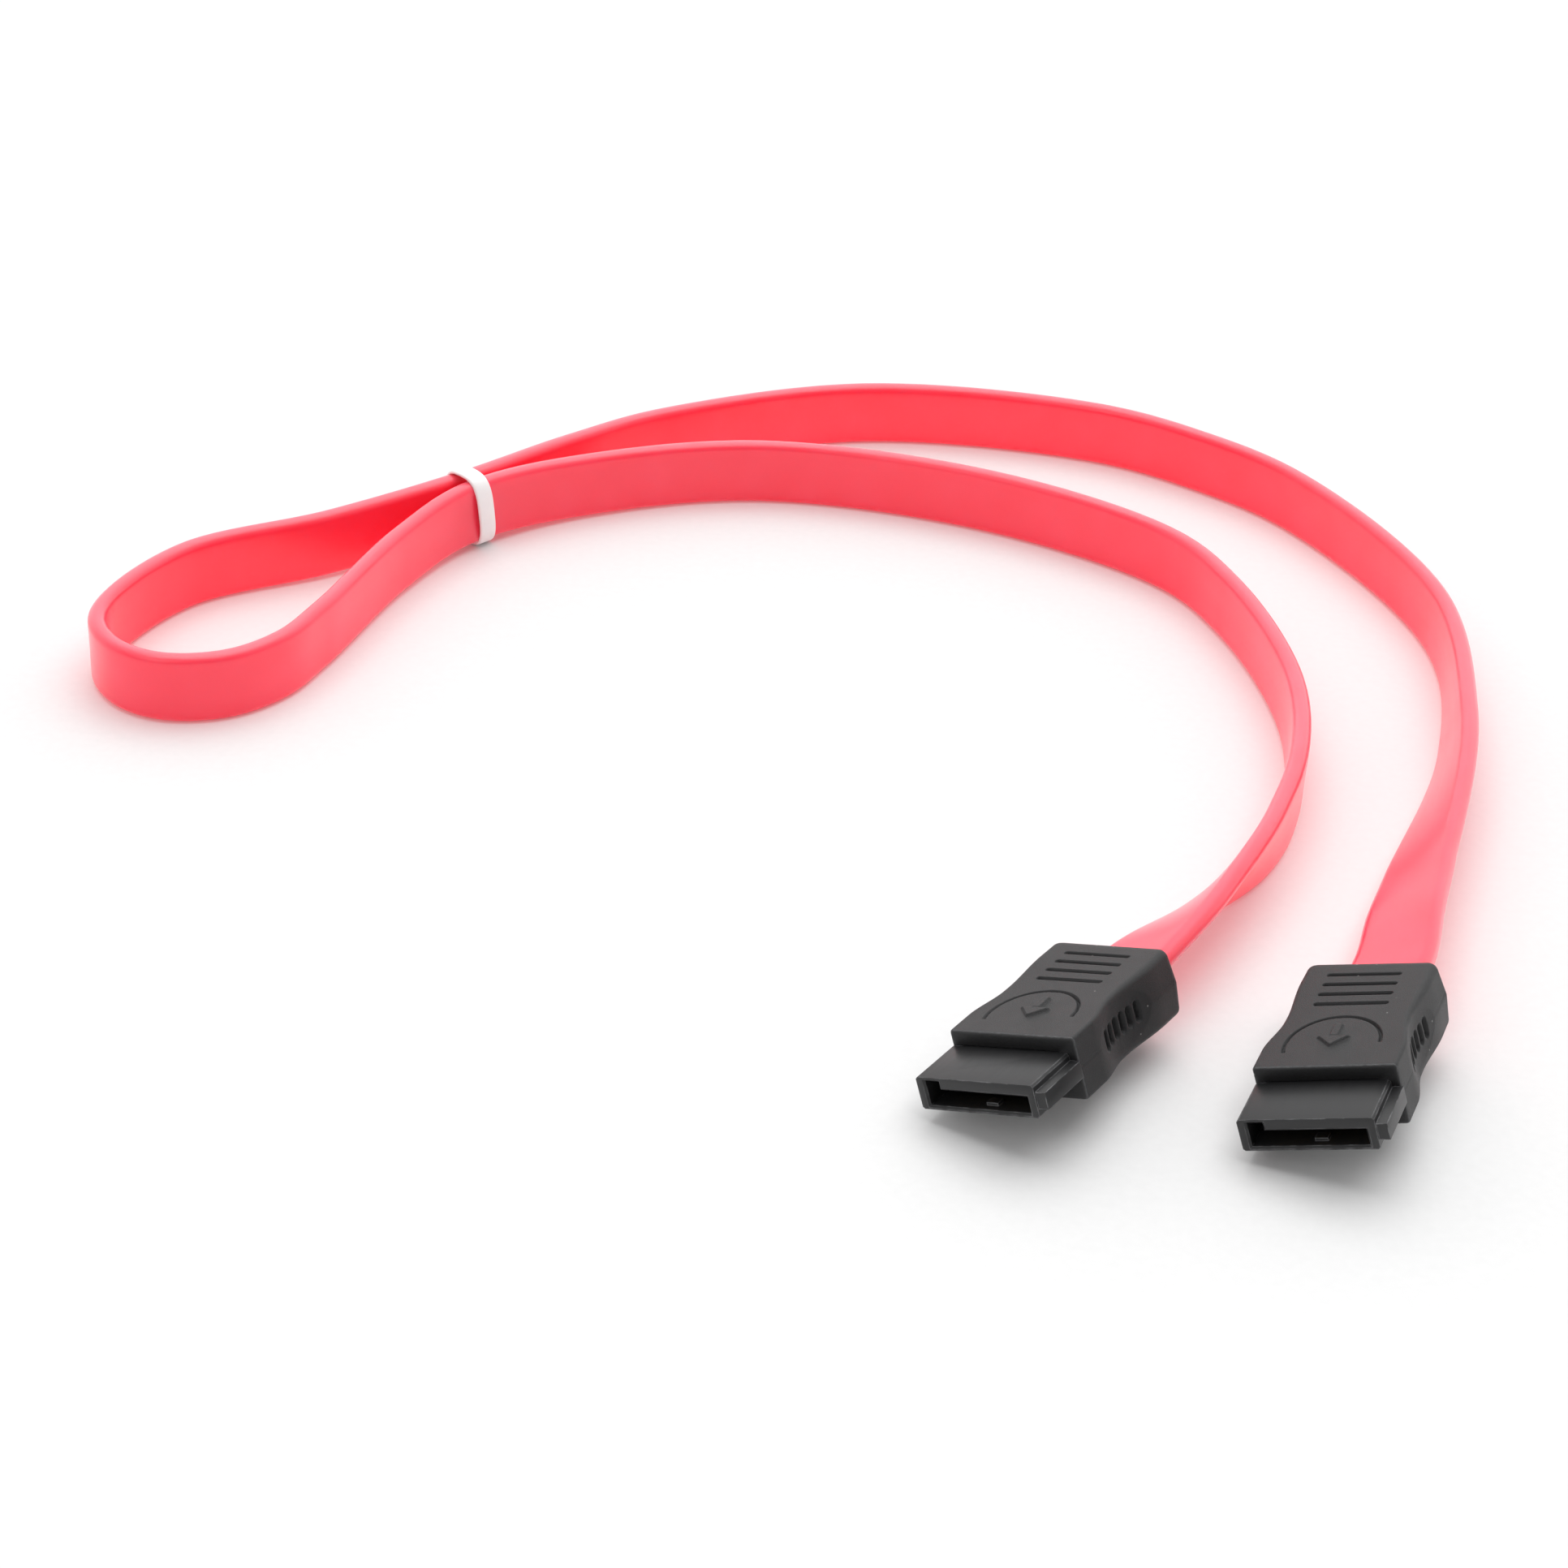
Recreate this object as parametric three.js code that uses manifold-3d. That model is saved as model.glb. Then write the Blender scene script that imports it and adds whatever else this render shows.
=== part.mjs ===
// Flat data cable for a computer drive, lying folded back on itself: a flat PVC ribbon with a
// plastic band around its two strands and a straight seven-contact plug on each end.
// Millimetres, +Z up. Origin: on the floor, below the middle of the box round the two plugs.
//
// Each plug has its own frame: X forward out of the nose, Y to the left of forward, Z up, with
// the origin at the bottom middle of the hood's front face.

import * as THREE from 'three';
import { mergeVertices } from 'three/addons/utils/BufferGeometryUtils.js';
import Module from 'manifold-3d';

const wasm = await Module();
wasm.setup();

const degrees = THREE.MathUtils.degToRad;

// Clearances between pieces that seat in each other
const SEAT_GAP = 0.3;
const CONTACT_GAP = 0.15;
const BAND_GAP = 0.25;
const FLOOR_GAP = 0.06;

// How far a cutter runs on past the face it opens, and how close two points are joined into one
const OVERRUN = 1;
const WELD_DISTANCE = 1e-5;

// Flat ribbon
const RIBBON_WIDTH = 7.8;
const RIBBON_THICKNESS = 2;
const RIBBON_EDGE_RADIUS = 0.9;
const RIBBON_SEAT = 5;
const RIBBON_STRAIGHT = 6.5;
const RIBBON_STEPS = 80;
const RIBBON_DIVISIONS = 1200;
const TWIST_HOLD = 8;

// Band round the two strands
const BAND_WIDTH = 2.4;
const BAND_THICKNESS = 0.5;
const BAND_CENTRE = [-75.6, 102.5];
const BAND_HEADING = degrees(47.5);
const STRAND_SPACING = 2.65;
const BAND_APPROACH_RISE = 0.2;

// Moulded hood of a plug. Its middle is a little left of the nose's, and its flanks lean in
// towards the top and the underside, more so at the rear.
const HOOD_LENGTH = 18;
const HOOD_HEIGHT = 6.1;
const HOOD_FRONT_WIDTH = 13.15;
const HOOD_WAIST_WIDTH = 11.9;
const HOOD_REAR_WIDTH = 12.9;
const HOOD_OFFSET = 0.4;
const HOOD_WAIST = 8.8;
const HOOD_COLLAR = 3.2;
const HOOD_SHOULDER = 3.4;
const HOOD_REAR_DRAFT = 0.45;
const HOOD_REAR_EDGE_RADIUS = 0.6;
const HOOD_FRONT_EDGE_RADIUS = 0.32;
const HOOD_REAR_CORNER_RADIUS = 0.9;
const HOOD_STATIONS = 14;
const HOOD_CORNER_STEPS = 3;

// Grips pressed into the hood; a groove or slot has ends of this share of its width in radius
const END_ROUNDING = 0.45;
const GROOVE_COUNT = 4;
const GROOVE_PITCH = 1.67;
const GROOVE_LENGTH = 6.9;
const GROOVE_WIDTH = 0.5;
const GROOVE_DEPTH = 0.3;
const GROOVE_OFFSET = 0.2;
const FIRST_GROOVE_FROM_REAR = 2.4;
const ARCH_WIDTH = 9;
const ARCH_RISE = 4.6;
const ARCH_LINE_WIDTH = 0.35;
const ARCH_DEPTH = 0.2;
const ARCH_FROM_FRONT = 3.9;
const ARCH_OFFSET = 0.15;
const ARCH_RIGHT_OVERRUN = degrees(16);
const SIDE_SLOT_COUNT = 6;
const SIDE_SLOT_PITCH = 1.15;
const SIDE_SLOT_WIDTH = 0.6;
const SIDE_SLOT_HEIGHT = 1.5;
const SIDE_SLOT_DEPTH = 0.45;
const SIDE_SLOTS_BEHIND_SEAT = 0.525;

// Plug housing: the thin nose that stands out of the hood, and its seat inside
const NOSE_LENGTH = 6.1;
const NOSE_WIDTH = 12.33;
const NOSE_THICKNESS = 3.15;
const NOSE_CHAMFER = 0.2;
const HOUSING_SEAT = 5.2;
const HOUSING_STEP = 1.1;
const RIB_REACH = 1;
const RIB_HEIGHT = 1.6;
const RIB_FROM_BOTTOM = 0.85;
const RIB_SETBACK = 0.15;

// Middle of the side slots' row, which starts behind the pocket that holds the housing
const SIDE_SLOTS_FROM_FRONT = HOUSING_SEAT + SEAT_GAP + SIDE_SLOTS_BEHIND_SEAT
  + SIDE_SLOT_WIDTH / 2 + SIDE_SLOT_PITCH * (SIDE_SLOT_COUNT - 1) / 2;

// L-shaped slot in the nose
const SLOT_RIGHT_WALL = 0.85;
const SLOT_LEFT_WALL = 0.91;
const SLOT_WIDTH = NOSE_WIDTH - SLOT_RIGHT_WALL - SLOT_LEFT_WALL;
const SLOT_HEIGHT = 1.6;
const SLOT_FLOOR = 0.35;
const SLOT_DEPTH = 7.2;
const SLOT_CHAMFER = 0.2;
const LEG_WIDTH = 1.45;
const LEG_RISE = 0.8;
const BUMP_FROM_WALL = 5.5;
const BUMP_WIDTH = 1.2;
const BUMP_LENGTH = 0.9;
const BUMP_HEIGHT = 0.3;
const BUMP_SETBACK = 0.9;

// Contact springs over the slot
const CONTACT_COUNT = 7;
const CONTACT_MARGIN = 0.23;
const CONTACT_PITCH = (SLOT_WIDTH - LEG_WIDTH - CONTACT_MARGIN) / CONTACT_COUNT;
const CONTACT_WIDTH = 0.6;
const CONTACT_THICKNESS = 0.2;
const CONTACT_DIP = 0.45;
const CONTACT_TIP_SETBACK = 1.1;
const CONTACT_TAIL_SETBACK = 0.5;
const CONTACT_KNEE = 3.6;
const CONTACT_BOW = 1.5;
const CONTACT_TIP_RISE = 0.26;
const CONTACT_STEPS = 14;
const CHANNEL_DEPTH = 0.75;
const CHANNEL_SETBACK = 0.5;

// Where the two plugs lie: each leans on the lower edge of its hood, turned by the ribbon's twist
const LEFT_PLACE = [-14.7, -4.4];
const RIGHT_PLACE = [12.6, -6.3];
const LEFT_TWIST = 72;
const RIGHT_TWIST = 92;
const PLUGS = [
  {
    name: 'left', place: LEFT_PLACE, heading: degrees(-123.5), lean: degrees(20.7), twist: LEFT_TWIST,
  },
  {
    name: 'right', place: RIGHT_PLACE, heading: degrees(-111.6), lean: degrees(20), twist: RIGHT_TWIST,
  },
];

// Height of the ribbon's middle where it stands on edge, where the band passes under it, and on
// the way between the two
const ON_EDGE = RIBBON_WIDTH / 2 + FLOOR_GAP;
const IN_BAND = RIBBON_WIDTH / 2 + BAND_THICKNESS + BAND_GAP;
const NEAR_BAND = ON_EDGE + BAND_APPROACH_RISE;

// Middle of the ribbon from behind the left plug to behind the right one
const ROUTE = [
  [3.6, 24.4, 4.6], [11.5, 37.9, ON_EDGE], [15.8, 51.7, ON_EDGE], [16.8, 67.8, ON_EDGE],
  [12.3, 88.4, ON_EDGE], [5.8, 100.2, ON_EDGE], [-15.1, 113.1, ON_EDGE], [-42, 117.8, ON_EDGE],
  [-63.2, 110.6, NEAR_BAND], [-75.4, 100.7, IN_BAND], [-82, 89, NEAR_BAND],
  [-88.2, 70.3, ON_EDGE], [-91.4, 62.9, ON_EDGE], [-96.4, 58.2, ON_EDGE], [-103, 57, ON_EDGE],
  [-108.4, 59.8, ON_EDGE], [-111.4, 66.6, ON_EDGE], [-105.3, 82.3, ON_EDGE],
  [-90.6, 92.1, NEAR_BAND], [-76.8, 103.1, IN_BAND], [-64.9, 116.5, NEAR_BAND],
  [-54, 126.1, ON_EDGE], [-28.9, 136.9, ON_EDGE], [-0.3, 134.5, ON_EDGE],
  [12.5, 127.5, ON_EDGE], [23.1, 117.2, ON_EDGE], [35.6, 88.8, ON_EDGE],
  [34.1, 61.5, ON_EDGE], [25.7, 33.2, 4.2], [23, 24.3, 4.8],
];

const ribbonMaterial = new THREE.MeshStandardMaterial({
  color: 0xe5303f, roughness: 0.3, metalness: 0,
});
const bandMaterial = new THREE.MeshStandardMaterial({
  color: 0xf2f1ee, roughness: 0.45, metalness: 0,
});
const hoodMaterial = new THREE.MeshStandardMaterial({
  color: 0x1c1c1e, roughness: 0.7, metalness: 0,
});
const housingMaterial = new THREE.MeshStandardMaterial({
  color: 0x0f0f10, roughness: 0.4, metalness: 0,
});
const contactMaterial = new THREE.MeshStandardMaterial({
  color: 0xd9ae4c, roughness: 0.3, metalness: 1,
});

// A closed geometry as a solid that can be joined and cut
function solid(geometry) {
  geometry.deleteAttribute('normal');
  geometry.deleteAttribute('uv');
  const merged = mergeVertices(geometry, WELD_DISTANCE);
  return new wasm.Manifold(new wasm.Mesh({
    numProp: 3,
    vertProperties: new Float32Array(merged.attributes.position.array),
    triVerts: new Uint32Array(merged.index.array),
  }));
}

function toGeometry(manifold) {
  const mesh = manifold.getMesh();
  const geometry = new THREE.BufferGeometry();
  const positions = new Float32Array(mesh.vertProperties);
  geometry.setAttribute('position', new THREE.BufferAttribute(positions, 3));
  geometry.setIndex(new THREE.BufferAttribute(new Uint32Array(mesh.triVerts), 1));
  geometry.computeVertexNormals();
  return geometry;
}

// A box given by its low and high corners
function boxBetween(low, high) {
  const geometry = new THREE.BoxGeometry(high[0] - low[0], high[1] - low[1], high[2] - low[2]);
  geometry.translate((low[0] + high[0]) / 2, (low[1] + high[1]) / 2, (low[2] + high[2]) / 2);
  return solid(geometry);
}

// Turns a section drawn in Y and Z, extruded along its own Z, to run along X from the given start
function alongX(geometry, start) {
  geometry.applyMatrix4(new THREE.Matrix4().makeBasis(
    new THREE.Vector3(0, 1, 0), new THREE.Vector3(0, 0, 1), new THREE.Vector3(1, 0, 0)));
  return geometry.translate(start, 0, 0);
}

// Rectangle with round corners, centred on (x, y)
function roundedRectangle(width, height, radius, x = 0, y = 0) {
  const shape = new THREE.Shape();
  const right = x + width / 2;
  const left = x - width / 2;
  const top = y + height / 2;
  const bottom = y - height / 2;
  shape.moveTo(right, bottom + radius);
  shape.lineTo(right, top - radius);
  shape.absarc(right - radius, top - radius, radius, 0, Math.PI / 2);
  shape.lineTo(left + radius, top);
  shape.absarc(left + radius, top - radius, radius, Math.PI / 2, Math.PI);
  shape.lineTo(left, bottom + radius);
  shape.absarc(left + radius, bottom + radius, radius, Math.PI, Math.PI * 1.5);
  shape.lineTo(right - radius, bottom);
  shape.absarc(right - radius, bottom + radius, radius, Math.PI * 1.5, Math.PI * 2);
  return shape;
}

// Half the hood's width at mid-height, at a distance behind its front face: a straight collar, a
// smooth shoulder down to the waist, and a swell towards the rear
function hoodHalfWidth(behind) {
  const { smoothstep } = THREE.MathUtils;
  const shoulder = smoothstep(behind, HOOD_COLLAR, HOOD_COLLAR + HOOD_SHOULDER);
  const swell = smoothstep(
    behind, HOOD_WAIST - HOOD_SHOULDER / 2, HOOD_LENGTH - HOOD_REAR_CORNER_RADIUS);
  const drop = HOOD_FRONT_WIDTH - HOOD_WAIST_WIDTH;
  const rise = HOOD_REAR_WIDTH - HOOD_WAIST_WIDTH;
  return (HOOD_FRONT_WIDTH - drop * shoulder + rise * swell) / 2;
}

// One cross-section of the hood as a closed ring of points: leaning flanks and round edges, drawn
// in from the full size by `inset` sideways and `sink` up and down
function hoodRing(behind, inset, sink) {
  const back = THREE.MathUtils.smoothstep(behind, HOOD_COLLAR, HOOD_LENGTH);
  const radius = THREE.MathUtils.lerp(HOOD_FRONT_EDGE_RADIUS, HOOD_REAR_EDGE_RADIUS, back);
  const halfWidth = hoodHalfWidth(behind) - inset;
  const halfHeight = HOOD_HEIGHT / 2 - sink;
  const draft = HOOD_REAR_DRAFT * back;
  const quarter = [[halfWidth, 0]];
  for (let i = 0; i <= HOOD_CORNER_STEPS; i++) {
    const turn = (i / HOOD_CORNER_STEPS) * Math.PI / 2;
    quarter.push([
      halfWidth - draft - radius * (1 - Math.cos(turn)), halfHeight - radius * (1 - Math.sin(turn))]);
  }
  const upper = [...quarter, ...quarter.slice(1).reverse().map(([y, z]) => [-y, z]), [-halfWidth, 0]];
  const lower = upper.slice(1, -1).reverse().map(([y, z]) => [y, -z]);
  return [...upper, ...lower].map(([y, z]) => new THREE.Vector3(
    -behind, y + HOOD_OFFSET, z + HOOD_HEIGHT / 2));
}

// Closed solid through a row of rings with as many points each, with flat ends
function loft(rings) {
  const size = rings[0].length;
  const index = [];
  for (let r = 0; r < rings.length - 1; r++) {
    for (let i = 0; i < size; i++) {
      const a = r * size + i;
      const b = r * size + (i + 1) % size;
      index.push(a, b, a + size, b, b + size, a + size);
    }
  }
  const last = (rings.length - 1) * size;
  for (let i = 1; i < size - 1; i++) {
    index.push(0, i + 1, i);
    index.push(last, last + i, last + i + 1);
  }
  const geometry = new THREE.BufferGeometry().setFromPoints(rings.flat());
  geometry.setIndex(index);
  return geometry;
}

// The hood's moulded form, lofted from the rear face to the front one
function hoodBody() {
  const rings = [];
  const rear = HOOD_REAR_CORNER_RADIUS;
  const front = HOOD_FRONT_EDGE_RADIUS;
  for (let i = 0; i <= HOOD_CORNER_STEPS; i++) {
    const turn = (i / HOOD_CORNER_STEPS) * Math.PI / 2;
    const inset = rear * (1 - Math.sin(turn));
    rings.push(hoodRing(HOOD_LENGTH - rear * (1 - Math.cos(turn)), inset, inset / 2));
  }
  for (let i = 1; i < HOOD_STATIONS; i++) {
    const behind = THREE.MathUtils.lerp(HOOD_LENGTH - rear, front, i / HOOD_STATIONS);
    rings.push(hoodRing(behind, 0, 0));
  }
  for (let i = HOOD_CORNER_STEPS; i >= 0; i--) {
    const turn = (i / HOOD_CORNER_STEPS) * Math.PI / 2;
    const inset = front * (1 - Math.sin(turn));
    rings.push(hoodRing(front * (1 - Math.cos(turn)), inset, inset));
  }
  return solid(loft(rings));
}

// Grooves across the thumb grip, on one face of the hood; z is the face's height
function gripGrooves(z) {
  const grooves = [];
  for (let i = 0; i < GROOVE_COUNT; i++) {
    const x = -HOOD_LENGTH + FIRST_GROOVE_FROM_REAR + i * GROOVE_PITCH;
    const shape = roundedRectangle(
      GROOVE_WIDTH, GROOVE_LENGTH, GROOVE_WIDTH * END_ROUNDING, x, GROOVE_OFFSET);
    const cutter = new THREE.ExtrudeGeometry(shape, {
      depth: GROOVE_DEPTH * 2, bevelEnabled: false, curveSegments: 1,
    });
    grooves.push(solid(cutter.translate(0, 0, z - GROOVE_DEPTH)));
  }
  return grooves;
}

// Arched line pressed into the top of the hood, ahead of the grip grooves: half an ellipse, run on
// a little further at its right end
function archGroove() {
  const x = -ARCH_FROM_FRONT;
  const across = ARCH_WIDTH / 2;
  const start = Math.PI / 2;
  const end = Math.PI * 1.5 + ARCH_RIGHT_OVERRUN;
  const rise = ARCH_RISE - ARCH_LINE_WIDTH;
  const inside = across - ARCH_LINE_WIDTH;
  const shape = new THREE.Shape();
  shape.absellipse(x, ARCH_OFFSET, ARCH_RISE, across, start, end);
  shape.lineTo(x + rise * Math.cos(end), ARCH_OFFSET + inside * Math.sin(end));
  shape.absellipse(x, ARCH_OFFSET, rise, inside, end, start, true);
  const cutter = new THREE.ExtrudeGeometry(shape, {
    depth: ARCH_DEPTH * 2, bevelEnabled: false, curveSegments: 7,
  });
  return solid(cutter.translate(0, 0, HOOD_HEIGHT - ARCH_DEPTH));
}

// Upright oval slots in one flank of the hood; side is +1 or -1
function sideSlots(side) {
  const slots = [];
  for (let i = 0; i < SIDE_SLOT_COUNT; i++) {
    const behind = SIDE_SLOTS_FROM_FRONT + (i - (SIDE_SLOT_COUNT - 1) / 2) * SIDE_SLOT_PITCH;
    const shape = roundedRectangle(
      SIDE_SLOT_WIDTH, SIDE_SLOT_HEIGHT, SIDE_SLOT_WIDTH * END_ROUNDING, -behind, HOOD_HEIGHT / 2);
    const depth = SIDE_SLOT_DEPTH + HOOD_FRONT_WIDTH - HOOD_WAIST_WIDTH;
    const cutter = new THREE.ExtrudeGeometry(shape, { depth, bevelEnabled: false, curveSegments: 1 });
    const deepest = HOOD_OFFSET + side * (hoodHalfWidth(behind) - SIDE_SLOT_DEPTH);
    cutter.rotateX(Math.PI / 2);
    cutter.translate(0, side > 0 ? deepest + depth : deepest, 0);
    slots.push(solid(cutter));
  }
  return slots;
}

function hoodGeometry() {
  let hood = hoodBody();
  const cutters = [
    ...gripGrooves(HOOD_HEIGHT), ...gripGrooves(0), archGroove(), ...sideSlots(1), ...sideSlots(-1),
    housingPocket(), ribbonPocket(),
  ];
  for (const cutter of cutters) hood = hood.subtract(cutter);
  return toGeometry(hood);
}

// Pocket in the hood's front face that holds the rear of the plug housing
function housingPocket() {
  const halfWidth = NOSE_WIDTH / 2 - HOUSING_STEP + SEAT_GAP;
  const halfHeight = NOSE_THICKNESS / 2 + SEAT_GAP;
  return boxBetween(
    [-HOUSING_SEAT - SEAT_GAP, -halfWidth, HOOD_HEIGHT / 2 - halfHeight],
    [OVERRUN, halfWidth, HOOD_HEIGHT / 2 + halfHeight]);
}

// Slot in the hood's rear face that the ribbon runs into
function ribbonPocket() {
  const shape = roundedRectangle(
    RIBBON_WIDTH + 2 * SEAT_GAP, RIBBON_THICKNESS + 2 * SEAT_GAP, RIBBON_EDGE_RADIUS + SEAT_GAP,
    HOOD_OFFSET, HOOD_HEIGHT / 2);
  const cutter = new THREE.ExtrudeGeometry(shape, {
    depth: RIBBON_SEAT + SEAT_GAP + OVERRUN, bevelEnabled: false, curveSegments: 1,
  });
  return solid(alongX(cutter, -HOOD_LENGTH - OVERRUN));
}

// Heights in the plug's frame
const noseBottom = (HOOD_HEIGHT - NOSE_THICKNESS) / 2;
const noseTop = noseBottom + NOSE_THICKNESS;
const slotFloor = noseBottom + SLOT_FLOOR;
const slotRoof = slotFloor + SLOT_HEIGHT;
const slotSide = -NOSE_WIDTH / 2 + SLOT_RIGHT_WALL;

// Section of the nose in Y and Z, with chamfered corners
function noseSection() {
  const half = NOSE_WIDTH / 2;
  const c = NOSE_CHAMFER;
  const shape = new THREE.Shape();
  shape.moveTo(-half + c, noseBottom);
  shape.lineTo(half - c, noseBottom);
  shape.lineTo(half, noseBottom + c);
  shape.lineTo(half, noseTop - c);
  shape.lineTo(half - c, noseTop);
  shape.lineTo(-half + c, noseTop);
  shape.lineTo(-half, noseTop - c);
  shape.lineTo(-half, noseBottom + c);
  shape.closePath();
  return shape;
}

// The L-shaped opening: a wide low slot with a short leg rising at its right-hand end
function slotSection() {
  const shape = new THREE.Shape();
  shape.moveTo(slotSide, slotFloor);
  shape.lineTo(slotSide + SLOT_WIDTH, slotFloor);
  shape.lineTo(slotSide + SLOT_WIDTH, slotRoof);
  shape.lineTo(slotSide + LEG_WIDTH, slotRoof);
  shape.lineTo(slotSide + LEG_WIDTH, slotRoof + LEG_RISE);
  shape.lineTo(slotSide, slotRoof + LEG_RISE);
  shape.closePath();
  return shape;
}

// The slot with its chamfered mouth, less the small bump that stands on its floor
function slotCutter() {
  const bore = new THREE.ExtrudeGeometry(slotSection(), {
    depth: SLOT_DEPTH + OVERRUN, bevelEnabled: false,
  });
  const mouth = new THREE.ExtrudeGeometry(slotSection(), {
    depth: OVERRUN, bevelSize: SLOT_CHAMFER, bevelThickness: SLOT_CHAMFER, bevelSegments: 1,
  });
  const bumpSide = slotSide + BUMP_FROM_WALL;
  const bumpFront = NOSE_LENGTH - BUMP_SETBACK;
  const bump = boxBetween(
    [bumpFront - BUMP_LENGTH, bumpSide, slotFloor - OVERRUN],
    [bumpFront, bumpSide + BUMP_WIDTH, slotFloor + BUMP_HEIGHT]);
  return solid(alongX(bore, NOSE_LENGTH - SLOT_DEPTH))
    .add(solid(alongX(mouth, NOSE_LENGTH)))
    .subtract(bump);
}

// Middle of contact number i across the plug
function contactSide(i) {
  const middle = slotSide + (LEG_WIDTH + SLOT_WIDTH) / 2;
  return middle + (i - (CONTACT_COUNT - 1) / 2) * CONTACT_PITCH;
}

function housingGeometry() {
  const nose = solid(alongX(
    new THREE.ExtrudeGeometry(noseSection(), { depth: NOSE_LENGTH - SEAT_GAP, bevelEnabled: false }),
    SEAT_GAP));
  const seatHalf = NOSE_WIDTH / 2 - HOUSING_STEP;
  const seat = boxBetween([-HOUSING_SEAT, -seatHalf, noseBottom], [SEAT_GAP * 2, seatHalf, noseTop]);
  const half = NOSE_WIDTH / 2;
  const ribBottom = noseBottom + RIB_FROM_BOTTOM;
  const rib = boxBetween(
    [SEAT_GAP, half - RIB_REACH / 2, ribBottom],
    [NOSE_LENGTH - RIB_SETBACK, half + RIB_REACH, ribBottom + RIB_HEIGHT]);
  let housing = nose.add(seat).add(rib).subtract(slotCutter());
  for (let i = 0; i < CONTACT_COUNT; i++) {
    const y = contactSide(i);
    const channelHalf = CONTACT_WIDTH / 2 + CONTACT_GAP;
    housing = housing.subtract(boxBetween(
      [-HOUSING_SEAT - OVERRUN, y - channelHalf, slotRoof - CONTACT_GAP],
      [NOSE_LENGTH - CHANNEL_SETBACK, y + channelHalf, slotRoof + CHANNEL_DEPTH]));
  }
  return toGeometry(housing);
}

// Side view of a contact spring: a straight tail in its channel, a bow down into the slot and a
// tip that turns back up
function contactGeometry() {
  const rest = slotRoof + CHANNEL_DEPTH - SEAT_GAP;
  const tail = -HOUSING_SEAT + CONTACT_TAIL_SETBACK;
  const tip = NOSE_LENGTH - CONTACT_TIP_SETBACK;
  const spring = new THREE.CatmullRomCurve3([
    [tail, rest], [(tail + tip - CONTACT_KNEE) / 2, rest], [tip - CONTACT_KNEE, rest],
    [tip - CONTACT_BOW, slotRoof - CONTACT_DIP], [tip, slotRoof + CONTACT_TIP_RISE],
  ].map(([x, z]) => new THREE.Vector3(x, z, 0)));
  const upper = [];
  const lower = [];
  for (let i = 0; i <= CONTACT_STEPS; i++) {
    const point = spring.getPointAt(i / CONTACT_STEPS);
    const along = spring.getTangentAt(i / CONTACT_STEPS);
    const across = new THREE.Vector2(-along.y, along.x).multiplyScalar(CONTACT_THICKNESS / 2);
    upper.push(new THREE.Vector2(point.x + across.x, point.y + across.y));
    lower.push(new THREE.Vector2(point.x - across.x, point.y - across.y));
  }
  const shape = new THREE.Shape([...lower, ...upper.reverse()]);
  const strip = new THREE.ExtrudeGeometry(shape, { depth: CONTACT_WIDTH, bevelEnabled: false });
  return strip.rotateX(Math.PI / 2).translate(0, CONTACT_WIDTH / 2, 0);
}

function namedMesh(name, geometry, material) {
  const mesh = new THREE.Mesh(geometry, material);
  mesh.name = name;
  return mesh;
}

// One complete plug, turned and placed where it lies
function makePlug(plug) {
  const group = new THREE.Group();
  group.add(namedMesh(`${plug.name}_hood`, hoodGeometry(), hoodMaterial));
  group.add(namedMesh(`${plug.name}_plug_housing`, housingGeometry(), housingMaterial));
  for (let i = 0; i < CONTACT_COUNT; i++) {
    const contact = namedMesh(`${plug.name}_contact_${i + 1}`, contactGeometry(), contactMaterial);
    contact.position.y = contactSide(i);
    group.add(contact);
  }
  placePlug(group, plug);
  return group;
}

// The hood lies on the round of its lower right edge, which sets the height of its origin
function placePlug(object, plug) {
  const edge = HOOD_FRONT_EDGE_RADIUS;
  const reach = HOOD_FRONT_WIDTH / 2 - HOOD_OFFSET - edge;
  const height = reach * Math.sin(plug.lean) - edge * Math.cos(plug.lean) + edge;
  object.position.set(...plug.place, height);
  object.rotation.set(plug.lean, 0, plug.heading, 'ZYX');
  object.updateMatrix();
}

// Points on the ribbon's axis behind a plug, from the given distances behind its rear face
function behindPlug(plug, distances) {
  const frame = new THREE.Object3D();
  placePlug(frame, plug);
  return distances.map((distance) => new THREE.Vector3(
    -HOOD_LENGTH - distance, HOOD_OFFSET, HOOD_HEIGHT / 2).applyMatrix4(frame.matrix));
}

// The ribbon's middle line, from inside the left hood to inside the right one
function ribbonCurve() {
  const ends = [-RIBBON_SEAT, 0, RIBBON_STRAIGHT];
  const points = [
    ...behindPlug(PLUGS[0], ends),
    ...ROUTE.map((point) => new THREE.Vector3(...point)),
    ...behindPlug(PLUGS[1], ends).reverse(),
  ];
  const curve = new THREE.CatmullRomCurve3(points, false, 'centripetal');
  curve.arcLengthDivisions = RIBBON_DIVISIONS;
  return curve;
}

// Turn of the ribbon's width away from upright, set by a plug at a distance along the ribbon
function plugTurn(plug, distance) {
  const release = THREE.MathUtils.smoothstep(distance, TWIST_HOLD, TWIST_HOLD + plug.twist);
  return (Math.PI / 2 - plug.lean) * (1 - release);
}

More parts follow.
